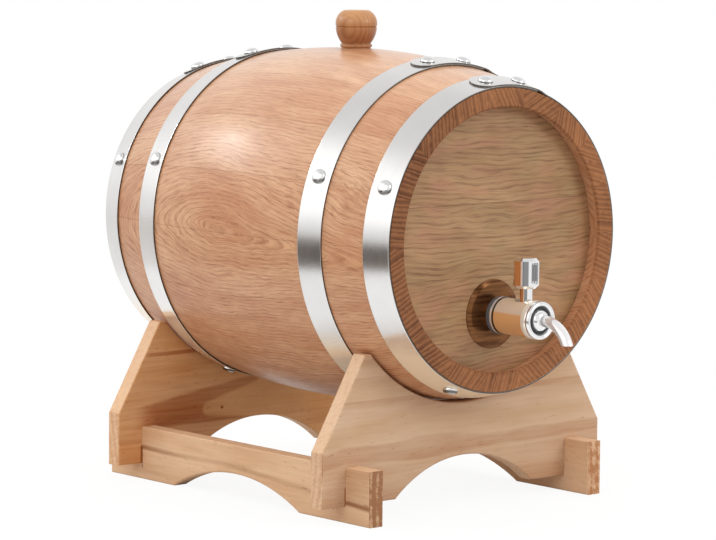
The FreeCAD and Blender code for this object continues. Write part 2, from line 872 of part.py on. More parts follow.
# Spout: a tube swept along a straight run and a bend, cut level
spout = new_body("spout")
ring = new_sketch(spout, "spout_section", "XZ_Plane", spring_pocket_end + 0.05)
draw_circle(ring, 0, 0, spout_radius)
draw_circle(ring, 0, 0, spout_radius - spout_wall)
route = new_sketch(spout, "spout_route", "YZ_Plane")
bend_turn = 80
run = spout_bend_place
run_start = Vector(-plain(spring_pocket_end + 0.05), 0, 0)
bend_start = Vector(-run.value, 0, 0)
bend_centre = Vector(-run.value, -spout_bend_radius.value, 0)
straight = route.addGeometry(Part.LineSegment(run_start, bend_start), False)
bend_circle = Part.Circle(bend_centre, Vector(0, 0, 1), spout_bend_radius.value)
bend = route.addGeometry(Part.ArcOfCircle(bend_circle, math.radians(90),
                                          math.radians(90 + bend_turn)), False)
pin_point(route, straight, 1, -(spring_pocket_end + 0.05), 0)
pin_point(route, straight, 2, -spout_bend_place, 0)
route.addConstraint(Sketcher.Constraint("Coincident", straight, 2, bend, 1))
pin_point(route, bend, 3, -spout_bend_place, -spout_bend_radius)
bend_reach = spout_bend_place + spout_bend_radius * sine(bend_turn)
index = route.addConstraint(Sketcher.Constraint("DistanceX", bend, 2, -bend_reach.value))
route.renameConstraint(index, "bend_end")
route.setExpression("Constraints.bend_end", (-bend_reach).text)
pipe = spout.newObject("PartDesign::AdditivePipe", "spout_tube")
pipe.Profile = ring
pipe.Spine = (route, [])
spout.Tip = pipe
level = new_sketch(spout, "spout_level", "YZ_Plane")
draw_loop(level, box_loop(-(spout_reach + spout_drop), -spout_bend_place,
                          -(spout_drop + spout_bend_radius * 2), -spout_drop))
pocket(spout, "spout_mouth", level)
place(spout, 0, tap_face, tap_height)


# ---------------------------------------------------------------- lever
# Stem, ball and finger are one turned piece on a cross pin. The stem
# tilts back along the slot and the finger pushes the plunger forward.
tip_flat = root(finger_tip_radius * finger_tip_radius - finger_radius * finger_radius)
ball_flat = root(stem_radius * stem_radius - finger_radius * finger_radius)
stem = turned_up("lever_stem", [
    (0, -(finger_reach + finger_tip_radius)),
    (finger_radius, -finger_reach + tip_flat, finger_tip_radius, -finger_reach),
    (finger_radius, -ball_flat),
    (stem_radius, Size(0, "0"), stem_radius * cosine(35), -stem_radius * sine(35)),
    (stem_radius, knob_base),
    (spigot_radius, knob_base),
    (spigot_radius, knob_base + spigot_rise),
    (0, knob_base + spigot_rise),
], 0, tap_face - lever_place, tap_height + pivot_rise)
pivot_bore = new_sketch(stem, "pivot_bore", "YZ_Plane")
draw_circle(pivot_bore, 0, 0, pin_radius + pin_gap)
pocket(stem, "pivot_hole", pivot_bore)

knob_top = knob_base + knob_rise
knob = turned_up("lever_knob", [
    (0, knob_base + spigot_rise + 0.3),
    (spigot_radius + spout_gap, knob_base + spigot_rise + 0.3),
    (spigot_radius + spout_gap, knob_base),
    (knob_radius - knob_edge, knob_base),
    (knob_radius, knob_base + knob_edge * 1.1),
    (knob_radius, knob_top - knob_edge * 1.1),
    (knob_radius - knob_edge, knob_top),
    (0, knob_top),
], 0, tap_face - lever_place, tap_height + pivot_rise)

# One flute with rounded ends is cut in the knob and repeated round it.
flute = new_sketch(knob, "flute_outline", "XZ_Plane", knob_radius - flute_depth)
flute_half = flute_width / 2
flute_low = knob_base + flute_margin
flute_high = knob_top - flute_margin
draw_loop(flute, [
    (-flute_half, flute_low + flute_half),
    (flute_half, flute_low + flute_half, 0, flute_low),
    (flute_half, flute_high - flute_half),
    (-flute_half, flute_high - flute_half, 0, flute_high),
])
flute_cut = knob.newObject("PartDesign::Pocket", "flute_cut")
flute_cut.Profile = flute
flute_cut.Reversed = True
flute_cut.Length = flute_depth.value * 3
bind(flute_cut, "Length", flute_depth * 3)
knob.Tip = flute_cut
cuts.append(flute_cut)
flutes = knob.newObject("PartDesign::PolarPattern", "flutes")
flutes.Originals = [flute_cut]
flutes.Axis = (flute, ["V_Axis"])
flutes.Angle = 360
flutes.Occurrences = int(flute_count.value)
bind(flutes, "Occurrences", flute_count)
knob.Tip = flutes


# -------------------------------------------------------------- plunger
# A turned rod with a sealing disc at the rear, a flat yoke under the
# lever's finger and a thrust disc for the spring.
disc_back = seat_place + seal_wall
disc_front = disc_back + disc_wall
thrust_end = yoke_end + thrust_wall
plunger = turned("plunger", forward([
    (seat_place + 0.5, 0),
    (seat_place + 0.5, seal_stub_radius),
    (disc_back, seal_stub_radius),
    (disc_back, seal_radius),
    (disc_front, seal_radius),
    (disc_front, rod_radius),
    (yoke_start, rod_radius),
    (yoke_start, yoke_radius),
    (yoke_end, yoke_radius),
    (yoke_end, thrust_radius),
    (thrust_end, thrust_radius),
    (thrust_end, 0),
]), 0, tap_face, tap_height)
flat = new_sketch(plunger, "yoke_flat", "YZ_Plane")
draw_loop(flat, box_loop(-yoke_end, -yoke_start, -yoke_top, yoke_radius + 2))
pocket(plunger, "yoke_flat_cut", flat)
slot_reach = finger_tip_radius + yoke_slot_gap
slot = new_sketch(plunger, "yoke_slot", "XY_Plane")
draw_loop(slot, box_loop(-slot_reach, slot_reach,
                         -(lever_place + slot_reach), -(lever_place - slot_reach)))
pocket(plunger, "yoke_slot_cut", slot)

seal_bore = seal_stub_radius + spout_gap
turned("plunger_seal", forward([
    (seat_place, seal_bore),
    (seat_place, seal_radius),
    (disc_back, seal_radius),
    (disc_back, seal_bore),
]), 0, tap_face, tap_height)

# Coil spring between the thrust disc and the floor of the collar pocket
spring = new_body("tap_spring")
wire = new_sketch(spring, "spring_wire_section", "YZ_Plane")
spring_start = thrust_end + spring_wire + spring_end_gap
spring_stop = spring_pocket_end - spring_wire - spring_end_gap
draw_circle(wire, -spring_stop, spring_radius, spring_wire)
coil = spring.newObject("PartDesign::AdditiveHelix", "spring_coil")
coil.Profile = wire
coil.ReferenceAxis = (wire, ["H_Axis"])
coil.Mode = "height-turns-angle"
coil.Height = plain(spring_stop - spring_start)
coil.Turns = plain(spring_turns)
coil.Angle = 0
bind(coil, "Height", spring_stop - spring_start)
bind(coil, "Turns", spring_turns)
spring.Tip = coil
place(spring, 0, tap_face, tap_height)


# ---------------------------------------------------------------- check
doc.recompute()
faults = []
for item in doc.Objects:
    for word in ("Invalid", "Error"):
        if word in item.State:
            faults.append("%s: %s" % (item.Name, word))
for feature in cuts:
    before = feature.BaseFeature.Shape.Volume
    if feature.Shape.Volume > before - 1e-3:
        faults.append("%s cuts nothing" % feature.Name)
for item in parts:
    shape = item.Shape
    if shape.isNull() or not shape.isValid() or shape.Volume <= 0:
        faults.append("%s has no sound shape" % item.Label)
if faults:
    raise RuntimeError("; ".join(faults))

# --------------------------------------------------------------- export
os.makedirs("parts", exist_ok=True)
for item in parts:
    item.Shape.exportStep("parts/%s.step" % item.Label)
print("wrote %d parts" % len(parts))
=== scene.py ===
# %% [markdown]
# # A small oak cask with a tap, on a pine cradle
# Every piece of the cask has been modelled already, and that model comes in as a
# fixed frame. This lesson gives the frame its wood, steel and chrome, and lights it.
# Patterns are read from the place of each point in metres, so that the grain runs
# through a stave as it runs through a real one, round its edges and into its ends.

# %% Load the frame
import bpy, bmesh, json, math
from mathutils import Matrix, Vector


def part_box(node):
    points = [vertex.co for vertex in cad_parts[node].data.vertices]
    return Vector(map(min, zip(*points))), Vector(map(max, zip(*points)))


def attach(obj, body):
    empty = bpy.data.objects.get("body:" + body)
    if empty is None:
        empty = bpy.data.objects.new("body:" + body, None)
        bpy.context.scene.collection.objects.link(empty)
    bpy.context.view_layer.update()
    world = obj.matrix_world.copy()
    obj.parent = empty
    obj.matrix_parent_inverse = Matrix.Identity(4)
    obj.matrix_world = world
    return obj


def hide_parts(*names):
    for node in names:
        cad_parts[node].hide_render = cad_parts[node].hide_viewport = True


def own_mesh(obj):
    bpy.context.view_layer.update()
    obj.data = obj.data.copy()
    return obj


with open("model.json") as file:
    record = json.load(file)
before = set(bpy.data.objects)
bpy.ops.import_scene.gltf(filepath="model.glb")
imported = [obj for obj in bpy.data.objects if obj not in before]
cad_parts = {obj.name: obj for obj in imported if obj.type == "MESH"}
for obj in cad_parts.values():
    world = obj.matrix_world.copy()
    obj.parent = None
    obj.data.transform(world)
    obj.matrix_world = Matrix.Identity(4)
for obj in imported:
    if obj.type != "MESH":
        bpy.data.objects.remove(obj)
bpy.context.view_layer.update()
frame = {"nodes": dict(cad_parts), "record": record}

# %% [markdown]
# The patterns need to know where the cask lies. A stave is as long as the cask, so
# its box gives the middle. The middle board of a head straddles the cask's axis.

# %% Where the cask is
stave_low, stave_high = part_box("stave_01")
board_low, board_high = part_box("head_front_middle")
tap_low, tap_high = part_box("tap_body")
cask_middle = (stave_low.y + stave_high.y) / 2
cask_half = (stave_high.y - stave_low.y) / 2
axis_height = (board_low.z + board_high.z) / 2
belly_radius = stave_high.z - axis_height
tap_height = (tap_low.z + tap_high.z) / 2
stave_count = sum(1 for name in frame["nodes"] if name.startswith("stave_"))
print("cask middle y", round(cask_middle, 4), "axis z", round(axis_height, 4),
      "belly", round(belly_radius, 4), "staves", stave_count)

# %% [markdown]
# A stave bends along a circle. Its drop from the belly to the edge of a hoop, and the
# distance between the two, give that circle's radius.

# %% How the staves bend
same_edge = 1e-5


def edge_radius(hoop, edge):
    """The inner radius of a hoop of the frame at one edge, which is at y in metres."""
    spots = [v.co for v in frame["nodes"][hoop].data.vertices]
    return min(math.hypot(p.x, p.z - axis_height) for p in spots if abs(p.y - edge) < same_edge)


hoop_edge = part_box("hoop_front_end")[1].y
reach = cask_middle - hoop_edge
drop = belly_radius - edge_radius("hoop_front_end", hoop_edge)
bend_radius = (reach * reach + drop * drop) / (2 * drop)
print("bend radius", round(bend_radius, 4))

# %% [markdown]
# ## Arithmetic on shader sockets
# A pattern is a sum. Writing it as one is easier to read than linking Math nodes, so
# `Wire` wraps the output of a node, and `+ - * /` on it add the nodes. The soft steps
# are what most patterns are cut out with.

# %% Wire
class Wire:
    """One output of a node, with arithmetic."""

    def __init__(self, bench, socket):
        self.bench, self.socket = bench, socket

    def math(self, operation, *values):
        return self.bench.node("ShaderNodeMath", {"operation": operation},
                               dict(enumerate(values)))

    def __add__(self, other):
        return self.math("ADD", self, other)

    def __sub__(self, other):
        return self.math("SUBTRACT", self, other)

    def __rsub__(self, other):
        return self.math("SUBTRACT", other, self)

    def __mul__(self, other):
        return self.math("MULTIPLY", self, other)

    def __truediv__(self, other):
        return self.math("DIVIDE", self, other)

    __radd__, __rmul__ = __add__, __mul__

    def apply(self, operation):
        return self.math(operation, self)

    def over(self, floor):
        return self.math("MAXIMUM", self, floor)

    def under(self, ceiling):
        return self.math("MINIMUM", self, ceiling)

    def hypot(self, other):
        return (self * self + other * other).apply("SQRT")

    def wave(self):
        """A sine wave that comes round once for each whole step of the value."""
        return (self * math.tau).apply("SINE")

    def step(self, start, end, low=0.0, high=1.0):
        """A soft step from low to high while the value goes from start to end."""
        return self.bench.node(
            "ShaderNodeMapRange", {"interpolation_type": "SMOOTHSTEP"},
            {0: self, 1: start, 2: end, 3: low, 4: high})

    def fall(self, start, end):
        """A soft step down from 1 to 0."""
        return self.step(start, end, 1.0, 0.0)

    def band(self, start, full, last, end):
        """1 from full to last, and softly 0 before start and after end."""
        return self.step(start, full) * self.fall(last, end)


print("Wire is ready")

# %% [markdown]
# `Bench` holds one node tree and makes every other kind of node with one method. The
# place of a point and the way its face looks are those at rest, so that a pattern stays
# on its piece when the lever tilts or the cask is lifted. `Finish` is a material.

# %% Bench and Finish
class Bench:
    """One node tree and the ways to add to it."""

    def __init__(self, tree):
        self.tree = tree

    def node(self, kind, settings=None, sockets=None, output=0):
        made = self.tree.nodes.new(kind)
        for name, value in (settings or {}).items():
            setattr(made, name, value)
        for name, value in (sockets or {}).items():
            if isinstance(value, Wire):
                self.tree.links.new(value.socket, made.inputs[name])
            else:
                made.inputs[name].default_value = value
        return Wire(self, made.outputs[output])

    def split(self, vector):
        """The x, y and z of a vector."""
        parts = self.node("ShaderNodeSeparateXYZ", sockets={0: vector}).socket.node
        return [Wire(self, part) for part in parts.outputs]

    def place(self):
        """The point's x, y and z in millimetres, before the object is posed."""
        spot = self.node("ShaderNodeTexCoord", output="Object")
        return [part * 1000.0 for part in self.split(spot)]

    def normal(self):
        return self.node("ShaderNodeTexCoord", output="Normal")

    def facing(self, axis):
        """How squarely a face looks along x, y or z, from 0 to 1."""
        return self.split(self.normal())[axis].apply("ABSOLUTE")

    def spot(self, x, y, z):
        return self.node("ShaderNodeCombineXYZ", sockets={0: x, 1: y, 2: z})

    def dot(self, first, second):
        return self.node("ShaderNodeVectorMath", {"operation": "DOT_PRODUCT"},
                         {0: first, 1: second}, output=1)

    def noise(self, x, y, z, detail=2.0, roughness=0.5):
        """Noise about 0, from -1 to 1."""
        value = self.node("ShaderNodeTexNoise", sockets={
            "Vector": self.spot(x, y, z), "Scale": 1.0, "Detail": detail, "Roughness": roughness})
        return value * 2.0 - 1.0

    def ray(self, kind):
        """1 for a ray of this kind, and 0 for any other."""
        return self.node("ShaderNodeLightPath", output=f"Is {kind} Ray")

    def chance(self, number, seed):
        """A random value from 0 to 1 for each whole number."""
        return self.node("ShaderNodeTexWhiteNoise", {"noise_dimensions": "1D"},
                         {"W": number + seed})

    def mix(self, amount, first, second):
        """A colour between two colours."""
        return self.node("ShaderNodeMix", {"data_type": "RGBA"},
                         {0: amount, 6: first, 7: second}, output=2)


class Finish(Bench):
    """A material whose surface is one Principled shader."""

    def __init__(self, name, **constants):
        self.material = bpy.data.materials.new(name)
        self.material.use_nodes = True
        super().__init__(self.material.node_tree)
        self.shader = self.tree.nodes["Principled BSDF"]
        for key, value in constants.items():
            self.socket(key).default_value = value

    def socket(self, key):
        return self.shader.inputs[key.replace("_", " ").title().replace("Ior", "IOR")]

    def feed(self, **wires):
        for key, wire in wires.items():
            self.tree.links.new(wire.socket, self.socket(key))

    def bump(self, height, depth, strength=1.0, **sockets):
        """Height from 0 to 1, raised by depth metres."""
        normal = self.node("ShaderNodeBump", sockets={
            "Height": height, "Distance": depth, "Strength": strength, **sockets})
        self.feed(normal=normal)


print("Bench and Finish are ready")

# %% [markdown]
# ## Colours
# Colours are written as a painter would read them off a swatch, from 0 to 255, and
# turned into the linear values that the shader works in.

# %% Swatches
def swatch(red, green, blue):
    linear = [((v / 255 + 0.055) / 1.055) ** 2.4 for v in (red, green, blue)]
    return (*linear, 1.0)


stave_light, stave_mid, stave_dark = swatch(232, 184, 143), swatch(207, 144, 102), swatch(148, 86, 52)
head_light, head_mid, head_dark = swatch(189, 148, 107), swatch(165, 124, 85), swatch(108, 71, 44)
head_rosy, head_straw = swatch(186, 134, 102), swatch(172, 140, 98)
chime_light, chime_dark = swatch(180, 120, 78), swatch(80, 42, 22)
pine_light, pine_mid, pine_dark = swatch(230, 192, 155), swatch(214, 168, 126), swatch(174, 116, 72)
bung_light, bung_dark = swatch(208, 150, 98), swatch(128, 66, 34)
print("stave", [round(v, 3) for v in stave_mid[:3]])

# %% [markdown]
# ## Oak for the staves
# A stave is sawn along the grain, so its face shows long wavy lines, and where the saw
# ran level with a growth ring the lines close into an arch. The pattern is a height
# map of the rings, and a line is drawn at each whole step of it.

# %% Oak lines round the cask
def cask_place(bench):
    """Where a point is on the cask: along, turn, radius, and its flat x and height, in mm."""
    x, y, z = bench.place()
    along = y - cask_middle * 1000
    up = z - axis_height * 1000
    return along, x.math("ARCTAN2", x, up), x.hypot(up), x, up


def stave_rings(bench, along, turn, x, up):
    """Steps of the ring map, with an arch on the left side and one on the right."""
    round_belly = belly_radius * 1000
    half_turn = math.pi * round_belly
    left = turn + math.radians(90)
    above = left * round_belly - 4.5
    away = left.apply("COSINE").apply("ARCCOSINE") * round_belly
    cap, back = (along - 2.0).over(0.0) * 0.36, 2.0 - along
    taper = ((back * back + 900.0).apply("SQRT") + back) * 0.5 * away.step(10.0, 60.0, 1.0, 0.2)
    tilted = above.under(half_turn) + taper * 0.12
    near = (tilted * tilted + cap * cap + 24.0).apply("SQRT") + taper * 0.13
    other = half_turn - away
    cap = (20.0 - along).over(0.0) * 0.36
    far = half_turn - (other * other + cap * cap + 2.0).apply("SQRT")
    share = away.step(half_turn * 0.35, half_turn * 0.65)
    rings = near * (1.0 - share) + far * share
    slow = bench.noise(x / 50.0, along / 90.0, up / 50.0, detail=1.0)
    quick = bench.noise(x / 12.0, along / 20.0, up / 12.0, roughness=0.4)
    shaky = bench.noise(x / 2.6, along / 5.0, up / 2.6)
    return rings / 2.5 + slow * 2.2 + quick * 0.7 + shaky * 0.22, away


print("stave rules are ready")

# %% [markdown]
# The staves of the frame are faceted where they bend. Where a face looks almost the way
# that the round barrel does, the shader lights it as the barrel. The bevels, the joints
# and the ends look elsewhere, and keep their own normals.

# %% Normals of the barrel
def round_over(oak, along, radius, x, up):
    bend = bend_radius * 1000
    slope = along / (bend * bend - along * along).apply("SQRT")
    barrel = oak.node("ShaderNodeVectorMath", {"operation": "NORMALIZE"},
                      {0: oak.spot(x / radius, slope, up / radius)})
    drawn = oak.normal()
    normal = oak.node("ShaderNodeMix", {"data_type": "VECTOR"},
                      {0: oak.dot(barrel, drawn).step(0.93, 0.98), 4: drawn, 5: barrel}, output=1)
    return oak.node("ShaderNodeVectorTransform", {
        "vector_type": "NORMAL", "convert_from": "OBJECT", "convert_to": "WORLD"}, {0: normal})


print("barrel normals are ready")

# %% [markdown]
# The end of a stave shows the same rings cut across, and each stave shows them at its
# own angle, because it was cut from another plank. The wax is thick on top and where it
# ran down to the lowest staves, and the ends have none.

# %% Staves
chime_middle = 85.0  # mm from the axis to the middle of a stave's end


def stave_ends(oak, number, lean, along, radius, x, up, clouds):
    slant = (oak.chance(number, 17.0) - 0.5) * 1.6
    across = lean.apply("SINE") * radius
    deep = lean.apply("COSINE") * radius - chime_middle
    bow = across * across * 0.014 * (oak.chance(number, 31.0) - 0.5)
    stripe = across * slant.apply("COSINE") + (deep + bow) * slant.apply("SINE")
    rough = oak.noise(x / 3.0, up / 3.0, along / 3.0, detail=3.0)
    wide = oak.noise(stripe / 5.0, number * 7.0, 0.0, detail=1.0)
    stripe = (stripe / 3.0 + wide * 1.1 + rough * 0.25).wave() * 0.5 + 0.5
    amount = stripe * (wide * 0.5 + 0.7) * 0.52 + 0.04 + clouds * 0.4 + rough * 0.2
    # Painted shade: the ends are darker towards the left, at -x, and lighter towards the right.
    return oak.mix(amount + x.step(-95.0, 30.0, 0.4, 0.12), chime_light, chime_dark)


def stave_oak():
    oak = Finish("stave_oak", specular_ior_level=0.22, coat_roughness=0.26)
    along, turn, radius, x, up = cask_place(oak)
    sector = math.tau / stave_count
    number = (turn / sector + 0.5 + stave_count).apply("FLOOR")
    number = number.math("MODULO", number, float(stave_count))
    rings, away = stave_rings(oak, along, turn, x, up)
    # Noise on the ring map itself makes strokes and fibres that follow the rings.
    strokes = oak.noise(rings * 1.1, along / 11.0, away / 9.0)
    fibres = oak.noise(rings * 4.5, along / 9.0, away / 6.0)
    streaks = oak.noise(rings * 0.35, along / 45.0, away / 45.0)
    clouds = oak.noise(x / 40.0, along / 60.0, up / 40.0, detail=3.0)
    wide = rings.wave().step(-0.5, 1.0)
    narrow = (rings * (4.6 * math.pi) + strokes * 2.0).apply("SINE").step(-0.5, 1.0)
    grain = wide * (strokes * 1.3 + 0.35).over(0.0) + narrow * (0.3 - strokes * 0.6).over(0.0)
    tone = (clouds * 0.8 + streaks * 0.6 + oak.chance(number, 3.0) * 0.3).step(-0.6, 1.0)
    # Painted highlight: the grain is drawn fainter on the top of the cask, where a broad sheen would wash
    # it out.
    painted_highlight_fade = up.step(35.0, 90.0, 1.0, 0.72)
    drawn = (grain * 0.52 + fibres.step(-0.3, 0.7) * 0.45) * painted_highlight_fade + streaks * 0.14
    side = oak.mix(tone, stave_light, stave_mid)
    # Painted shade: the sides darken towards the bottom of the cask.
    side = oak.mix(drawn + up.step(-95.0, -60.0, 0.12, 0.0), side, stave_dark)
    end = stave_ends(oak, number, turn - number * sector, along, radius, x, up, clouds)
    is_end = along.apply("ABSOLUTE").step(cask_half * 1000 - 1.7, cask_half * 1000 - 1.5)
    wax = up.step(-80.0, -20.0, 0.05, 0.5) + up.step(20.0, 80.0, 0.0, 0.5) + up.step(-97.0, -87.0, 0.5, 0.0)
    oak.feed(base_color=oak.mix(is_end, side, end), coat_weight=wax * (1.0 - is_end),
             roughness=is_end * 0.2 + grain * 0.10 + fibres * 0.03 + 0.42)
    oak.bump(1.0 - grain * 0.5 - fibres * 0.25, depth=0.00025, strength=0.4,
             Normal=round_over(oak, along, radius, x, up))
    return oak.material


oak_of_staves = stave_oak()
print(oak_of_staves.name, "nodes:", len(oak_of_staves.node_tree.nodes))

# %% [markdown]
# ## Oak for the heads
# A head is three boards with the grain across the cask. The boards are browner than
# the staves, and their lines are broader and calmer. Each board is shifted along the
# pattern, so that no line crosses a joint.

# %% Head boards
board_pitch = 44.0  # mm


def head_oak():
    oak = Finish("head_oak", roughness=0.5, specular_ior_level=0.4)
    along, _, _, x, up = cask_place(oak)
    board = ((up + board_pitch / 2) / board_pitch).apply("FLOOR")
    run = x + oak.chance(board, 5.0) * 400.0
    slow = oak.noise(run / 70.0, along / 20.0, up / 24.0)
    quick = oak.noise(run / 18.0, along / 6.0, up / 6.0)
    rings = (up + along * 0.4) / 3.1 + slow * 2.9 + quick * 0.24
    strokes = oak.noise(run / 26.0, along / 2.0, rings * 1.4)
    fibres = oak.noise(run / 14.0, along / 0.7, rings * 7.0)
    clouds = oak.noise(run / 50.0, along / 30.0, up / 20.0)
    tint = oak.noise(run / 30.0, along / 30.0, up / 13.0, detail=1.0)
    bands = oak.noise(run / 40.0, along / 10.0, rings * 0.5)
    grain = rings.wave().step(-0.6, 1.0) * strokes.step(-0.4, 0.4)
    side = oak.mix(clouds.step(-0.5, 0.5), head_light, head_mid)
    side = oak.mix(tint.step(-0.5, 0.0, 0.8, 0.0), side, head_straw)
    side = oak.mix(tint.step(0.0, 0.5) * 0.8, side, head_rosy)
    drawn = grain * 0.42 + fibres.step(-0.1, 0.6) * 0.54 + bands.step(-0.1, 0.5) * 0.24
    # Painted shade: the head darkens towards its bottom.
    side = oak.mix(drawn + up.step(-75.0, -35.0, 0.10, 0.0), side, head_dark)
    oak.feed(base_color=side, roughness=grain * 0.1 + 0.46)
    oak.bump(1.0 - grain * 0.5 - fibres * 0.3, depth=0.0002, strength=0.4)
    return oak.material


oak_of_heads = head_oak()
print(oak_of_heads.name, "nodes:", len(oak_of_heads.node_tree.nodes))

# %% [markdown]
# ## Oak for the bung
# The bung is turned from a close-grained scrap. Shade is painted on it: its knob is lighter
# at the top, darker below, and a little lighter again at the foot. Its pores are fine upright
# strokes, and its rings hardly show.

# %% Bung
def bung_oak():
    oak = Finish("bung_oak", specular_ior_level=0.5)
    x, y, z = oak.place()
    below_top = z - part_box("bung")[1].z * 1000
    slow = oak.noise(x / 9.0, y / 9.0, z / 30.0)
    rings = ((x + y * 0.4 + z * 0.08) / 2.6 + slow * 0.8).wave().step(-0.2, 1.0)
    pores = oak.noise(x / 0.7, y / 0.7, z / 5.0)
    # Painted shade: lighter on the top of the knob, darker below it, and a little lighter at its foot.
    painted_shade = below_top.step(-18.0, -3.0, 0.62, 0.10) * below_top.step(-24.0, -19.0, 0.5, 1.0)
    amount = painted_shade + slow * 0.25 + rings * 0.16 + pores.step(0.0, 0.6) * 0.2
    oak.feed(base_color=oak.mix(amount, bung_light, bung_dark), roughness=0.34 + pores * 0.06)
    oak.bump(pores * -0.5 + 0.5, depth=0.00012, strength=0.3)
    return oak.material


oak_of_bung = bung_oak()
print(oak_of_bung.name, "nodes:", len(oak_of_bung.node_tree.nodes))

# %% [markdown]
# ## Pine for the cradle
# The tree's rings are circles round its heart, 5 mm apart. These boards are sawn a hand
# away from the heart, so a ring meets the face at a shallow angle and shows as a broad
# soft band, while the sawn ends show the same rings close together. One rule, the
# distance from the heart, makes both. Each ring darkens outwards and then stops short.

# %% Rings, pores and marks
ring_gap = 5.0  # mm


def pine_rings(pine, run, across, z, heart):
    """How far each ring has darkened, from 0 to 1. heart is across and up, in mm."""
    slow = pine.noise(run / 110.0, across / 60.0, z / 60.0, detail=1.0)
    quick = pine.noise(run / 30.0, across / 8.0, z / 8.0)
    from_heart = (across - heart[0]).hypot(z - heart[1])
    rings = (from_heart + slow * 0.3 + quick * 0.16) / ring_gap
    part, whole = rings.apply("FRACT"), rings.apply("FLOOR")
    return part.band(0.15, 0.95, 0.975, 1.0) * (pine.chance(whole, 2.0) * 0.6 + 0.6)


def pine_marks(pine, run, across, z):
    """Pores, and short dark resin marks that climb a little along the board."""
    fine = pine.noise(run / 22.0, across / 0.6, z / 0.6)
    broad = pine.noise(run / 50.0, across / 5.0, z / 2.2, detail=3.0)
    climb = z - run * 0.14
    marks = pine.noise(run / 8.0, across / 1.0, climb / 0.8, detail=1.0)
    return fine * 0.16 + broad * 0.22, marks.step(0.36, 0.56)


def knot_flame(pine, x, z):
    """Dark wood under a slanting line, which parts round the pale eye of a knot."""
    eye_x, eye_z, knot_x, knot_z = -42.0, 40.0, -30.8, 39.8
    wave = pine.noise(x / 18.0, 0.0, z / 5.0) * 0.9
    below = x * 0.145 + 60.0 + wave - z
    left, right = (eye_x - x).over(0.0), (x - eye_x).over(0.0)
    middle = z - eye_z - right * 0.07 + wave * 0.4
    eye = (left.hypot(middle) - right * 0.18 - 2.5).step(0.5, 3.5)
    flame = below.step(-1.2, 1.6) * eye * z.step(30.3, 32.6) * x.band(-104.0, -84.0, -3.0, 5.0)
    off, high = x - knot_x, z - knot_z
    return flame, (off * off + high * high * 1.6).apply("SQRT").fall(0.7, 1.6)


print("pine rules are ready")

# %% [markdown]
# The four boards differ in how far they were cut from the heart, in their colour, and
# in what grew there. The rear plate's colours are deeper and warmer, partly its own wood
# and partly painted shade with warm light bounced into it. The saw leaves the edges and
# ends paler and rougher, and hides most of the rings there.

# %% A board of pine
def cradle_pine(board, runs, heart, colours=(pine_light, pine_mid, pine_dark),
                contrast=0.5, extra=None, ends=0.3):
    pine = Finish(board + "_pine", roughness=0.55, specular_ior_level=0.3)
    light, mid, dark = colours
    low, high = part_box(board)
    length = "xyz".index(runs)
    centre, half = (low + high)[length] * 500, (high - low)[length] * 500
    x, y, z = pine.place()
    run, across = (x, y) if runs == "x" else (y, x)
    ring = pine_rings(pine, run, across, z, heart)
    grain, marks = pine_marks(pine, run, across, z)
    clouds = pine.noise(run / 70.0, across / 20.0, z / 16.0, detail=3.0)
    edge = pine.facing(1 if runs == "x" else 0).fall(0.3, 0.8)
    saw = pine.noise((z + across * 0.9) / 1.1, (z - across) / 6.0, run / 3.0)
    broken = pine.noise(across / 5.0 + z / 9.0, z / 7.0 - across / 9.0, 0.0)
    end = ring * 0.8 + 0.5 if runs == "x" else ring * 0.3 + saw * 0.2 + broken * 0.7 + 0.5
    sawn = (run - centre).apply("ABSOLUTE").step(half - 0.5, half - 0.3)
    amount = ring * (clouds * 0.2 + contrast) * (edge * -0.7 + 1.0) + grain + marks * 0.5
    if extra:
        amount = amount + extra(pine, x, y - cask_middle * 1000, z) * (1.0 - edge)
    amount = amount + edge * saw * 0.46 + sawn * ends * end
    plain = pine.mix(edge * 0.8, pine.mix(clouds.step(-0.5, 0.6), light, mid), pine_light)
    pine.feed(base_color=pine.mix(amount, plain, dark), roughness=ring * -0.06 + 0.56)
    pine.bump(grain + 0.5 - ring * 0.2 - marks * 0.3 + edge * saw * 0.2, depth=0.0003, strength=0.4)
    return pine.material


print("cradle_pine is ready")

# %% [markdown]
# A painted shadow line marks the gap where a rail passes through a plate, just off the
# face of the other board and no higher than the lap. The rear plate has a knot with a
# flame round it, and the left rail has a streak of resin.

# %% The four boards
rail_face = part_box("rail_right")[1].x * 1000
plate_face = (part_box("plate_rear")[0].y - cask_middle) * 1000
lap_top = (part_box("plate_rear")[0].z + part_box("rail_right")[1].z) * 500
streak_bend = 0.8645  # mm behind the cask's middle; the streak falls in front of it


# Painted shadow: a dark line in the gap beside a joint, no higher than the lap.
def joint_shadow(across, line, z):
    off_line = (across.apply("ABSOLUTE") - line).apply("ABSOLUTE")
    return off_line.fall(0.3, 0.8) * z.fall(lap_top - 1.2, lap_top + 0.1)


def front_extra(pine, x, y, z):
    """Warmer wood low on the front plate."""
    return joint_shadow(x, rail_face + 0.5, z) + z.step(33.0, 46.0, 0.22, 0.0)


def rear_extra(pine, x, y, z):
    flame, knot = knot_flame(pine, x, z)
    line = (z - 78.4).apply("ABSOLUTE").step(0.6, 2.0, 0.5, 0.0) * x.band(-96.0, -88.0, -58.0, -40.0)
    # Painted shade: the rear plate darkens towards its left, at -x.
    shade = x.step(-60.0, -10.0, 0.26, 0.0)
    return flame * 0.5 + knot * 1.2 + line + shade + joint_shadow(x, rail_face + 0.5, z)


def rail_extra(pine, x, y, z):
    """A resin streak low on the rail, strongest at its two ends, and painted shadow lines at the joints."""
    fall = (streak_bend - y).over(0.0) * 0.075
    height = z - 20.2 + fall + pine.noise(y / 40.0, 0.0, 0.0) * 1.2
    strength = y.step(30.0, 95.0, 0.3, 0.8) + y.step(-110.0, -60.0, 0.5, 0.0)
    streak = height.band(-2.2, -0.4, 0.2, 2.6) * strength
    block = y.fall(-106.0, -103.0) * height.step(-0.6, 0.6) * 0.25
    return streak + block + joint_shadow(y, plate_face - 0.4, z) * z.step(5.0, 9.0) * 0.9


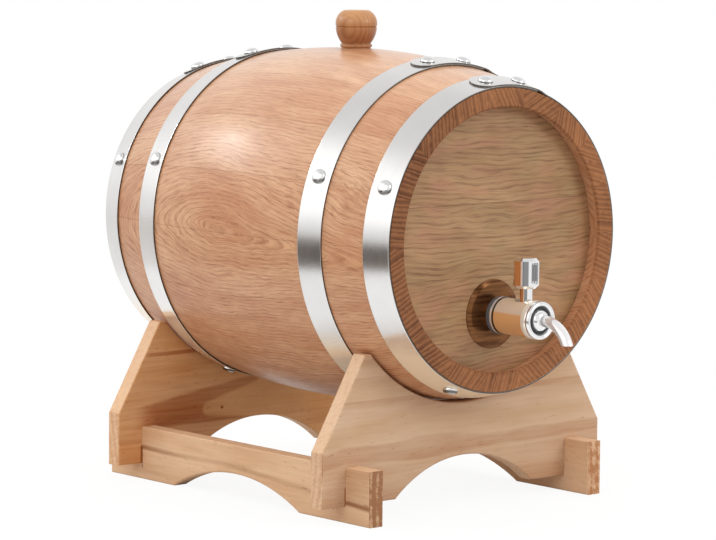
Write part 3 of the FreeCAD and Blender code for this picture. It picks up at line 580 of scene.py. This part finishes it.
calm = swatch(214, 182, 152), swatch(199, 161, 125), swatch(164, 106, 64)
# Painted shade: the rear plate's colours are deeper and warmer, for the warm light bounced into its shade.
warm = swatch(240, 192, 142), swatch(222, 162, 102), swatch(166, 86, 34)
brown = pine_light, pine_mid, swatch(152, 104, 68)
pines = {
    "plate_front": cradle_pine("plate_front", "x", (24.9, 39.5), calm, 0.4, front_extra),
    "plate_rear": cradle_pine("plate_rear", "x", (-58.0, 64.0), warm, 0.25, rear_extra),
    "rail_left": cradle_pine("rail_left", "y", (86.3, 20.0), brown, 0.3, rail_extra, ends=1.6),
    "rail_right": cradle_pine("rail_right", "y", (-86.3, 12.0), contrast=0.3, ends=1.15),
}
print("pine boards:", sorted(pines), "lap top", round(lap_top, 2))

# %% [markdown]
# ## Steel for the hoops
# The hoops are rolled from brushed strip: the brush lines run round the cask, so they
# are noise that is long round the hoop and very short across it. A face that looks out
# from the axis is rolled, and every other face is a cut edge, which is darker. Down by
# the saddle the strip is painted cream and partly diffuse, a painted reflection of the pine.

# %% Brushed hoops
def hoop_steel():
    steel = Finish("hoop_steel", roughness=0.2)
    along, turn, radius, x, up = cask_place(steel)
    brush = steel.noise(along / 0.16, turn * 2.2, 0.0, detail=3.0, roughness=0.6)
    dull = steel.noise(x / 30.0, along / 30.0, up / 30.0)
    shade = brush * 0.35 + dull * 0.35 + 0.5
    out = steel.dot(steel.normal(), steel.spot(x / radius, 0.0, up / radius))
    cut = out.apply("ABSOLUTE").fall(0.4, 0.8)
    # Painted reflection of the pine: low on the hoop the strip is cream and partly diffuse.
    pine_reflection = up.fall(-68.0, -50.0) * (1.0 - cut)
    face = steel.mix(shade, swatch(216, 214, 212), swatch(244, 243, 241))
    face = steel.mix(pine_reflection, face, swatch(252, 236, 210))
    steel.feed(base_color=steel.mix(cut, face, swatch(98, 92, 86)), metallic=1.0 - pine_reflection * 0.5,
               roughness=brush * 0.04 + dull * 0.03 + cut * 0.25 + 0.20)
    steel.bump(brush * 0.5 + 0.5, depth=0.00004, strength=0.25)
    return steel.material


steel_of_hoops = hoop_steel()
print(steel_of_hoops.name, "nodes:", len(steel_of_hoops.node_tree.nodes))

# %% [markdown]
# ## Nails, rubber and the inside of the tap
# A polished nail needs little more than a smooth surface and something to reflect. What
# it would mirror close by, its own dark foot, is painted on it. Rubber, brass and
# plastic share one rule: two near colours and a smear between them.

# %% Small finishes
def polished(name, light, dark, roughness, metallic=1.0, size=18.0):
    """A surface with faint smears and marks from handling."""
    metal = Finish(name, metallic=metallic, roughness=roughness)
    x, y, z = metal.place()
    smear = metal.noise(x / size, y / size, z / size, detail=4.0, roughness=0.6)
    smear = smear * 0.5 + 0.5
    metal.feed(base_color=metal.mix(smear, dark, light),
               roughness=smear * (roughness * 0.8) + roughness * 0.6)
    return metal.material


def nail_finish():
    """Polished steel. The lower half of a head is painted dark, a painted reflection of its own dark foot.
    """
    metal = Finish("nail_steel", metallic=1.0, roughness=0.12)
    rise = metal.split(metal.normal())[2]
    foot = rise.band(-0.85, -0.6, -0.25, 0.0)
    metal.feed(base_color=metal.mix(foot * 0.85, swatch(238, 238, 238), swatch(84, 78, 74)))
    return metal.material


print("polished and nail_finish are ready")

# %% [markdown]
# ## Chrome for the tap
# Chrome has no colour of its own. The tap stands in front of a wooden head, so a part
# of what it mirrors is warm and brown, and that cast is painted where the wood would
# show: on the barrel, on the lever's two flanks and on the plate behind them.

# %% Wall plate and lever
def wall_plate_finish():
    """A dark mirror whose level brown streaks are a painted reflection of the wood in front of it."""
    metal = Finish("wall_plate_chrome", metallic=0.6, roughness=0.2, specular_ior_level=0.1)
    x, y, z = metal.place()
    streak = metal.noise(x / 26.0, y / 8.0, z / 1.9)
    metal.feed(base_color=metal.mix(streak.step(-0.35, 0.35), swatch(92, 58, 34), swatch(132, 88, 54)))
    return metal.material


def lever_finish():
    """Chrome with a painted reflection of warm wood on the left and right of its stem and of its knob's
    rim.
    """
    metal = Finish("lever_chrome", roughness=0.05)
    x, _, z = metal.place()
    stem = (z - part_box("lever_knob")[0].z * 1000).fall(-0.3, 0.0)
    outside = x.apply("ABSOLUTE").step(5.8, 6.4) + stem
    flank = metal.facing(0).step(0.86, 0.97) * outside
    metal.feed(base_color=metal.mix(flank, swatch(242, 242, 242), swatch(226, 158, 98)),
               metallic=1.0 - flank * 0.4)
    return metal.material


print("wall_plate_finish and lever_finish are ready")

# %% [markdown]
# The collar has painted shade, a black ring in the groove round its dome, and a painted
# highlight, a cream skirt that reaches back over the barrel. The body has a painted
# highlight, a bright rim where its flange lies on the gasket, and painted shade, a black
# line in the crease where the flange meets the barrel.

# %% Collar and body
def collar_finish():
    metal = Finish("collar_chrome", roughness=0.06)
    x, y, z = metal.place()
    out = x.hypot(z - tap_height * 1000)
    # Painted shade: the groove round the dome is near black and dull.
    ring = out.band(6.2, 6.5, 8.3, 8.6)
    # Painted highlight: the skirt over the barrel is cream and partly diffuse.
    skirt_highlight = out.step(11.2, 11.5) * (y - tap_low.y * 1000).step(-0.8, -0.4)
    smear = metal.noise(x / 18.0, y / 18.0, z / 18.0, detail=4.0) * 0.5 + 0.5
    chrome = metal.mix(smear, swatch(232, 232, 232), swatch(246, 246, 246))
    chrome = metal.mix(skirt_highlight, chrome, swatch(250, 242, 226))
    metal.feed(base_color=metal.mix(ring, chrome, swatch(42, 44, 48)),
               metallic=1.0 - ring * 0.7 - skirt_highlight * 0.6,
               roughness=smear * 0.04 + ring * 0.25 + 0.03)
    return metal.material


def body_finish():
    metal = Finish("body_chrome", roughness=0.07)
    x, y, z = metal.place()
    wave = metal.noise(x / 9.0, y / 14.0, z / 9.0) * 0.8
    # Painted reflection of the wood: the barrel is warm, and paler above its middle.
    above = (z - tap_height * 1000 + wave).step(2.4, 4.0)
    barrel = (y - tap_low.y * 1000).fall(32.5, 34.0)
    cast = metal.mix(above, swatch(252, 200, 142), swatch(252, 236, 216))
    before_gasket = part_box("tap_gasket_outer")[0].y * 1000 - y
    # Painted highlight: a bright rim where the flange lies on the gasket.
    rim = before_gasket.band(0.1, 0.5, 1.2, 1.6)
    # Painted shade: a black line in the crease where the flange meets the barrel.
    foot = before_gasket.band(1.5, 1.8, 2.7, 3.1)
    shell = metal.mix(rim, metal.mix(barrel, swatch(240, 240, 240), cast), swatch(250, 250, 248))
    metal.feed(base_color=metal.mix(foot * 0.85, shell, swatch(38, 32, 28)), metallic=1.0 - barrel * 0.45)
    return metal.material


print("collar_finish and body_finish are ready")

# %% [markdown]
# ## Dress the frame
# Each node of the frame names the slot of its finish. The four boards of the cradle,
# the tap's body and the spout take one of their own.

# %% Dress the frame
finishes = {
    "stave_oak": oak_of_staves,
    "head_oak": oak_of_heads,
    "bung_oak": oak_of_bung,
    "hoop_steel": steel_of_hoops,
    "nail_steel": nail_finish(),
    "tap_chrome": lever_finish(),
    "tap_plate_chrome": wall_plate_finish(),
    "tap_rubber": polished("tap_rubber", swatch(104, 106, 110), swatch(72, 74, 78), 0.45, 0.0, 4.0),
    "tap_brass": polished("tap_brass", swatch(206, 172, 98), swatch(176, 140, 74), 0.25),
    "plunger_plastic": polished("plunger_plastic", swatch(228, 228, 224), swatch(210, 210, 206), 0.4, 0.0),
    "pin_steel": polished("pin_steel", swatch(206, 206, 206), swatch(180, 180, 180), 0.25),
}
# Painted reflection: the spout is near white and partly diffuse, so it shows bright where chrome would
# mirror the brown wood.
spout_chrome = polished("spout_chrome", swatch(250, 248, 247), swatch(238, 236, 236), 0.08, 0.55)
own = {**pines, "tap_body": body_finish(), "spout": spout_chrome}
for part in frame["record"]["subparts"]:
    name = part["node"]
    materials = frame["nodes"][name].data.materials
    materials.clear()
    materials.append(own[name] if name in own else finishes[part["material_slot"]])

# %% [markdown]
# ## Hoops and nails by rule
# A cooper cuts a hoop from flat strip, rolls it round the cask, laps its ends and
# rivets them. Geometry Nodes can work in the same order. `Works` holds such a tree: it
# takes a flat mesh and named inputs, and gives a finished one. Each result is turned
# into a plain mesh, so that nothing is left to evaluate.

# %% Works
def add_object(name, data):
    made = bpy.data.objects.new(name, data)
    bpy.context.scene.collection.objects.link(made)
    return made


class Works(Bench):
    """A Geometry Nodes tree that takes a mesh and named inputs."""

    def __init__(self, name, **inputs):
        super().__init__(bpy.data.node_groups.new(name, "GeometryNodeTree"))
        self.keys = {}
        self.socket("Mesh", "INPUT", "NodeSocketGeometry")
        for title, value in inputs.items():
            kind = "NodeSocketInt" if isinstance(value, int) else "NodeSocketFloat"
            made = self.socket(title.replace("_", " ").title(), "INPUT", kind)
            made.default_value = value
            self.keys[title] = made.identifier
        self.keys["finish"] = self.socket("Finish", "INPUT", "NodeSocketMaterial").identifier
        self.socket("Mesh", "OUTPUT", "NodeSocketGeometry")
        self.start = self.tree.nodes.new("NodeGroupInput")

    def socket(self, title, way, kind):
        return self.tree.interface.new_socket(title, in_out=way, socket_type=kind)

    def given(self, title):
        return Wire(self, self.start.outputs[title.replace("_", " ").title()])

    def deliver(self, mesh):
        real = self.node("GeometryNodeRealizeInstances", sockets={"Geometry": mesh})
        done = self.node("GeometryNodeSetMaterial",
                         sockets={"Geometry": real, "Material": self.given("finish")})
        end = self.tree.nodes.new("NodeGroupOutput")
        self.tree.links.new(done.socket, end.inputs["Mesh"])

    def make(self, name, base, **values):
        """A new object whose mesh is what the tree makes of the base."""
        piece = add_object(name, base)
        modifier = piece.modifiers.new("works", "NODES")
        modifier.node_group = self.tree
        for title, value in values.items():
            modifier[self.keys[title]] = value
        ready = piece.evaluated_get(bpy.context.evaluated_depsgraph_get())
        mesh = bpy.data.meshes.new_from_object(ready)
        piece.modifiers.remove(modifier)
        piece.data = mesh
        mesh.name = name
        return piece


print("Works is ready")

# %% [markdown]
# A strip is drawn flat: its stations go along x, its width along y and its thickness
# along z. The edges of its section are eased, as the rolls leave them, and the extra
# points beside each edge keep the shading of the flat faces flat.

# %% A flat strip
strip_width, strip_wall, ease = 0.018, 0.001, 0.00028
end_stations, all_stations = 24, 420


def finished_mesh(shape, name):
    mesh = bpy.data.meshes.new(name)
    shape.to_mesh(mesh)
    shape.free()
    return mesh


def skin(shape, first, second):
    """A band of smooth faces between two closed loops of points."""
    for n in range(len(first)):
        shape.faces.new((first[n - 1], first[n], second[n], second[n - 1])).smooth = True


def oval_arc(middle, size, start, end, steps=14):
    """Points of an arc, from one angle to another."""
    turns = [math.radians(start + (end - start) * n / steps) for n in range(steps + 1)]
    return [(middle[0] + size[0] * math.cos(a), middle[1] + size[1] * math.sin(a)) for a in turns]


def strip_section():
    points = []
    for start, side, up in ((0, 1, 1), (90, -1, 1), (180, -1, -1), (270, 1, -1)):
        middle = side * (strip_width / 2 - ease), strip_wall - ease if up > 0 else ease
        rim = oval_arc(middle, (ease, ease), start, start + 90, steps=3)
        beside = side * (strip_width / 2 - ease * 3), strip_wall if up > 0 else 0.0
        points += rim + [beside] if side * up > 0 else [beside] + rim
    return points


def flat_strip():
    section = strip_section()
    shape = bmesh.new()
    rings = [[shape.verts.new((number, y, z)) for y, z in section] for number in range(all_stations)]
    for first, second in zip(rings, rings[1:]):
        skin(shape, first, second)
    shape.faces.new(rings[0][::-1])
    shape.faces.new(rings[-1])
    return finished_mesh(shape, "flat_strip")


strip = flat_strip()
print("strip faces:", len(strip.polygons))

# %% [markdown]
# Rolling turns the distance along the strip into an angle. The outer end is rounded,
# lies on the other end for the length of the lap, and then steps down to the wood. The
# two edges have different radii, because the cask tapers.

# %% The rolling rule
degree = math.radians(1)
full_round = 359.5  # degrees, half a degree short of closing


def round_cask(works, angle, radius, along=0.0):
    """A spot at an angle from the top of the cask, so far along from the piece's middle."""
    return works.spot(angle.apply("SINE") * radius,
                      works.given("middle") + works.given("axis_y") + along,
                      angle.apply("COSINE") * radius + works.given("axis_z"))


def rolling_rule():
    works = Works("roll_a_hoop", lap_turn=0.0, lap_length=28.0, step_length=5.0,
                  low_radius=0.1, high_radius=0.1, width=strip_width, wall=strip_wall,
                  middle=0.0, axis_y=0.0, axis_z=0.0, stations=all_stations, end_stations=end_stations)
    given = works.given
    station, across, thick = works.split(works.node("GeometryNodeInputPosition"))
    width, end = given("width"), given("end_stations")
    low_radius, high_radius = given("low_radius"), given("high_radius")
    # Stations crowd together on the rounded end, and are even after it.
    bend = (station / end).under(1.0) * (math.pi / 2)
    end_turn = width / (low_radius + high_radius) / degree
    even = ((station - end) / (given("stations") - end - 1.0)).over(0.0)
    length = given("lap_length")
    turn = end_turn * (1.0 - bend.apply("COSINE")) + even * (length + full_round - end_turn)
    lift = turn.fall(length + 0.5, length + given("step_length"))
    across = across * bend.apply("SINE").over(0.1)
    share = across / width + 0.5
    radius = low_radius * (1.0 - share) + high_radius * share
    radius = radius + thick + lift * given("wall")
    angle = (turn + given("lap_turn") - length / 2.0) * degree
    rolled = works.node("GeometryNodeSetPosition", sockets={
        "Geometry": given("mesh"), "Position": round_cask(works, angle, radius, across)})
    works.deliver(rolled)
    return works


roll = rolling_rule()
print("rolling inputs:", list(roll.keys))

# %% [markdown]
# The heads of the rivets and nails are low domes with a small shoulder. One head is
# drawn as rings of points that follow its profile.

# %% One nail head
def nail_head(radius=0.0046, height=0.0029, shoulder=0.00034, segments=32, rounds=9):
    profile = [(radius * 0.96, 0.0), (radius * 0.992, 0.00012), (radius, shoulder)]
    for number in range(1, rounds):
        bend = math.radians(number * 90 / rounds)
        profile.append((radius * math.cos(bend) ** 0.92, shoulder + (height - shoulder) * math.sin(bend)))
    shape = bmesh.new()
    turns = [math.tau * n / segments for n in range(segments)]
    rings = [[shape.verts.new((out * math.cos(a), out * math.sin(a), up)) for a in turns]
             for out, up in profile]
    for low, high in zip(rings, rings[1:]):
        skin(shape, low, high)
    top = shape.verts.new((0, 0, height))
    for n in range(segments):
        shape.faces.new((rings[-1][n - 1], rings[-1][n], top)).smooth = True
    shape.faces.new(rings[0][::-1])
    return finished_mesh(shape, "nail_head")


head_of_nail = nail_head()
print("nail head faces:", len(head_of_nail.polygons))

# %% [markdown]
# The tree sets five heads round a hoop: two rivets through the lap and three nails
# further round. A rivet sits higher by the wall of the strip, because two layers lie
# under it, and each head leans with the taper of the hoop.

# %% The setting rule
def setting_rule():
    works = Works("set_the_nails", lap_turn=0.0, rivet_step=16.0, first_nail=-68.0, nail_step=-91.0,
                  rivets=2, nails=3, seat_radius=0.1, wall=strip_wall, lean=0.0,
                  middle=0.0, axis_y=0.0, axis_z=0.0)
    given = works.given
    number, rivets = works.node("GeometryNodeInputIndex"), given("rivets")
    is_nail = number.math("GREATER_THAN", number, rivets - 0.5)
    rivet = given("lap_turn") + (number - (rivets - 1.0) / 2.0) * given("rivet_step")
    nail = given("first_nail") + (number - rivets) * given("nail_step")
    angle = (rivet * (1.0 - is_nail) + nail * is_nail) * degree
    seat = given("seat_radius") + given("wall") * (1.0 - is_nail)
    points = works.node("GeometryNodePoints", sockets={
        "Count": rivets + given("nails"), "Position": round_cask(works, angle, seat)})
    facing = works.node("FunctionNodeEulerToRotation", sockets={
        "Euler": works.spot(given("lean"), angle, 0.0)})
    heads = works.node("GeometryNodeInstanceOnPoints", sockets={
        "Points": points, "Instance": given("mesh"), "Rotation": facing})
    works.deliver(heads)
    return works


set_nails = setting_rule()
print("setting inputs:", list(set_nails.keys))

# %% [markdown]
# Each hoop is rolled to the radii that its place on the cask asks for. They are
# measured on the strip of the frame, at its two edges. The laps stand on top of the
# cask, each a few degrees to one side.

# %% Roll the hoops and set the nails
lap_turns = {"front_end": 3.0, "front_quarter": 2.0, "rear_quarter": -3.0, "rear_end": -7.0}
for word, lap_turn in lap_turns.items():
    low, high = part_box("hoop_" + word)
    radii = edge_radius("hoop_" + word, low.y), edge_radius("hoop_" + word, high.y)
    shared = {"lap_turn": lap_turn, "middle": (low.y + high.y) / 2 - cask_middle,
              "axis_y": cask_middle, "axis_z": axis_height}
    hoop = roll.make("rolled_hoop_" + word, strip, low_radius=radii[0], high_radius=radii[1],
                     finish=finishes["hoop_steel"], **shared)
    nails = set_nails.make("nail_heads_" + word, head_of_nail, seat_radius=sum(radii) / 2 + strip_wall,
                           lean=math.atan2(radii[1] - radii[0], high.y - low.y),
                           finish=finishes["nail_steel"], **shared)
    for piece, slot, node in ((hoop, "hoop_steel", "hoop_"), (nails, "nail_steel", "nails_")):
        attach(piece, "cask")
        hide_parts(node + word)
    print(word, "radii", [round(r * 1000, 2) for r in radii],
          "faces", len(hoop.data.polygons), len(nails.data.polygons))

# %% [markdown]
# ## The tap's collar
# The ring that closes the tap's barrel is a round bead, and a ball inside it holds the
# spout. A turned piece is drawn as half of its section, a closed loop of points, and spun
# about the axis. The bead and the ball are oval arcs, fine enough to act as mirrors. An
# angle of 0 on them is forward and 90 is outward.

# %% Turn the collar
def turned(name, section, back, height, finish, segments=96):
    """Spin a closed section, in mm forward of back and out from the axis, which lies along y."""
    shape = bmesh.new()
    rings = []
    for turn in (math.tau * n / segments for n in range(segments)):
        side, up = math.sin(turn) / 1000, math.cos(turn) / 1000
        rings.append([shape.verts.new((out * side, back - forward / 1000, height + out * up))
                      for forward, out in section])
    for first, second in zip(rings, rings[1:] + rings[:1]):
        skin(shape, first, second)
    bmesh.ops.recalc_face_normals(shape, faces=shape.faces)
    mesh = finished_mesh(shape, name)
    mesh.set_sharp_from_angle(angle=math.radians(40))
    mesh.materials.append(finish)
    return add_object(name, mesh)


collar_reach, ball = 44.6, 6.3  # mm
section = [(37.5, 4.6), (37.5, 7.95), (39.5, 7.95), (39.5, 11.04), (36.4, 11.04), (36.4, 11.3)]
section += [(36.7, 11.6), (39.9, 11.6)] + oval_arc((41.35, 10.05), (1.85, 1.55), 122, -80, 24)
section += [(41.6, 8.5), (41.6, ball)] + oval_arc((41.6, 0.0), (3.617, ball), 88, 33.97)
section += [(41.0, 3.52), (41.0, 4.6)]
collar = turned("collar_bead_and_ball", section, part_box("tap_collar")[0].y + collar_reach / 1000,
                tap_height, collar_finish())
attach(collar, "cask")
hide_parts("tap_collar")
print("collar points:", len(section), "faces:", len(collar.data.polygons))

# %% [markdown]
# ## The tap's spring
# A coil spring inside the barrel closes the valve. The lever pushes the plunger forward
# and the spring gets shorter. A Spiral curve gives the coil, and a small circle drawn
# along it gives the wire.

# %% Wind the spring
def winding_rule():
    works = Works("wind_a_spring", turns=4.0, coil_radius=0.004, wire_radius=0.0004, length=0.006,
                  start_y=0.0, axis_z=0.0, steps=36, sides=12)
    given = works.given
    coil = works.node("GeometryNodeCurveSpiral", sockets={
        "Resolution": given("steps"), "Rotations": given("turns"), "Height": given("length"),
        "Start Radius": given("coil_radius"), "End Radius": given("coil_radius")})
    section = works.node("GeometryNodeCurvePrimitiveCircle", sockets={
        "Resolution": given("sides"), "Radius": given("wire_radius")})
    wire = works.node("GeometryNodeCurveToMesh", sockets={
        "Curve": coil, "Profile Curve": section, "Fill Caps": True})
    laid = works.node("GeometryNodeTransform", sockets={
        "Geometry": wire, "Rotation": (math.pi / 2, 0.0, 0.0),
        "Translation": works.spot(0.0, given("start_y"), given("axis_z"))})
    works.deliver(laid)
    return works


low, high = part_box("tap_spring")
wire_radius = 0.00035
slide = next(j for j in frame["record"]["behaviour"]["joints"] if j["name"] == "valve_slide")
spring = winding_rule().make(
    "wound_spring", bpy.data.meshes.new("wire"), coil_radius=(high.x - low.x) / 2 - wire_radius,
    wire_radius=wire_radius, length=high.y - low.y - wire_radius * 2, start_y=high.y - wire_radius,
    axis_z=tap_height, finish=finishes["pin_steel"])
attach(spring, "cask")
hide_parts("tap_spring")
1 - slide["range_m"][1] / (high.y - low.y)
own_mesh(spring)
print("spring faces:", len(spring.data.polygons), "length", round(high.y - low.y, 5))

# %% [markdown]
# ## The floor and the light
# The object stands on a plain pale floor. The camera sees it nearly white, and polished
# things see it so away from the cradle, while its paint is greyer and keeps a shadow.

# %% Floor
floor_radius = 0.5


def make_floor():
    shape = bmesh.new()
    bmesh.ops.create_circle(shape, cap_ends=True, segments=96, radius=floor_radius)
    paint = bpy.data.materials.new("floor_white")
    paint.use_nodes = True
    bench = Bench(paint.node_tree)
    bench.tree.nodes.remove(bench.tree.nodes["Principled BSDF"])
    plain = bench.node("ShaderNodeBsdfDiffuse", sockets={"Color": (0.68, 0.68, 0.68, 1)})
    glow = bench.node("ShaderNodeEmission", sockets={"Color": (1, 1, 1, 1), "Strength": 1.04})
    x, y, _ = bench.place()
    out = x.hypot(y)
    seen = bench.ray("Camera") * out.step(floor_radius * 450, floor_radius * 900, 0.88, 1.0)
    mirrored = bench.ray("Glossy") * out.step(110.0, 210.0)
    both = bench.node("ShaderNodeMixShader", sockets={0: seen + mirrored, 1: plain, 2: glow})
    bench.tree.links.new(both.socket, bench.tree.nodes["Material Output"].inputs["Surface"])
    floor = add_object("floor", finished_mesh(shape, "floor"))
    floor.data.materials.append(paint)
    return floor


floor = make_floor()
print("floor", floor.dimensions[:])

# %% [markdown]
# The sky is even, and brighter above than below. Only polished things see two dark gaps
# in it near the horizon, one on each side of the left softbox, as they would see the gaps
# between the lamps of a studio. The rear one is brown.

# %% Sky
def make_sky():
    world = bpy.data.worlds.new("studio")
    bpy.context.scene.world = world
    world.use_nodes = True
    bench = Bench(world.node_tree)
    side, depth, rise = bench.split(bench.node("ShaderNodeTexCoord", output="Generated"))
    low = rise.band(-0.40, -0.35, -0.09, -0.02)
    left, ahead = depth * 0.5 - side * 0.87, depth * -0.62 - side * 0.78
    brown = low * left.step(0.90, 0.97) * 0.9
    brown = brown + low * left.step(0.55, 0.9, 0.0, 0.3) * left.fall(0.90, 0.97)
    dark = brown + low * ahead.step(0.84, 0.92) * 0.7
    shine = rise.step(0.02, 0.20) * left.step(0.5, 0.9) * 0.45 + 0.92
    shine = shine * rise.step(0.60, 0.88, 1.0, 0.84) * (1.0 - dark.under(1.0))
    soft = rise.step(-0.25, 0.9, 0.34, 1.3)
    seen, glossy = bench.ray("Camera"), bench.ray("Glossy")
    level = soft * (1.0 - glossy) + shine * glossy
    level = level * (1.0 - seen) + seen
    tint = bench.mix(brown * glossy, (1, 1, 1, 1), (1.0, 0.78, 0.66, 1))
    light = bench.tree.nodes["Background"]
    bench.tree.links.new(tint.socket, light.inputs["Color"])
    bench.tree.links.new(level.socket, light.inputs["Strength"])
    return world


sky = make_sky()
print("sky nodes:", len(sky.node_tree.nodes))

# %% [markdown]
# Three softboxes give the shapes on the chrome. The narrow one behind the cask leans, so
# that its image on the barrel is round.

# %% Lamps
def turn_about(axis, angle):
    return Matrix.Rotation(math.radians(angle), 4, axis)


def softbox(name, place, width, height, power, roll=0.0, target=(0, 0.03, 0.17)):
    lamp = bpy.data.lights.new(name, "AREA")
    lamp.shape, lamp.size, lamp.size_y, lamp.energy = "RECTANGLE", width, height, power
    box = add_object(name, lamp)
    facing = (Vector(target) - Vector(place)).to_track_quat("-Z", "Y").to_matrix().to_4x4()
    box.matrix_world = Matrix.Translation(place) @ facing @ turn_about("Z", roll)


softbox("back_softbox", (-0.72, 1.25, 0.95), 0.09, 0.46, power=2.9, roll=48.0)
softbox("left_softbox", (-1.5, -0.5, 0.9), 0.9, 0.9, power=3.5)
softbox("front_softbox", (0.7, -1.7, 0.9), 0.8, 0.8, power=7.0)

# %% [markdown]
# ## The camera
# A long lens looks from the front left, a little above the middle of the cask. The
# camera is turned a little about its own axis, and the lens is shifted so that the point
# it aims at comes to its place in the frame.

# %% Camera
def make_camera(azimuth, elevation, roll, distance, target, focal_px, target_px, frame_px=(716, 540)):
    wide, tall = frame_px
    lens = bpy.data.cameras.new("camera")
    lens.lens = focal_px / wide * lens.sensor_width
    lens.shift_x = (wide / 2 - target_px[0]) / wide
    lens.shift_y = (target_px[1] - tall / 2) / wide
    camera = add_object("camera", lens)
    looking = turn_about("Z", azimuth) @ turn_about("X", 90 - elevation) @ turn_about("Z", roll)
    camera.matrix_world = Matrix.Translation(target) @ looking @ Matrix.Translation((0, 0, distance))
    bpy.context.scene.camera = camera
    return camera


camera = make_camera(azimuth=-41.153, elevation=6.834, roll=0.516, distance=2.1874,
                     target=(0, 0.02678, 0.1183), focal_px=3489.9, target_px=(356.4, 296.8))
bpy.context.scene.view_settings.view_transform = "Standard"
print("camera at", [round(v, 3) for v in camera.location], "lens", round(camera.data.lens, 1))
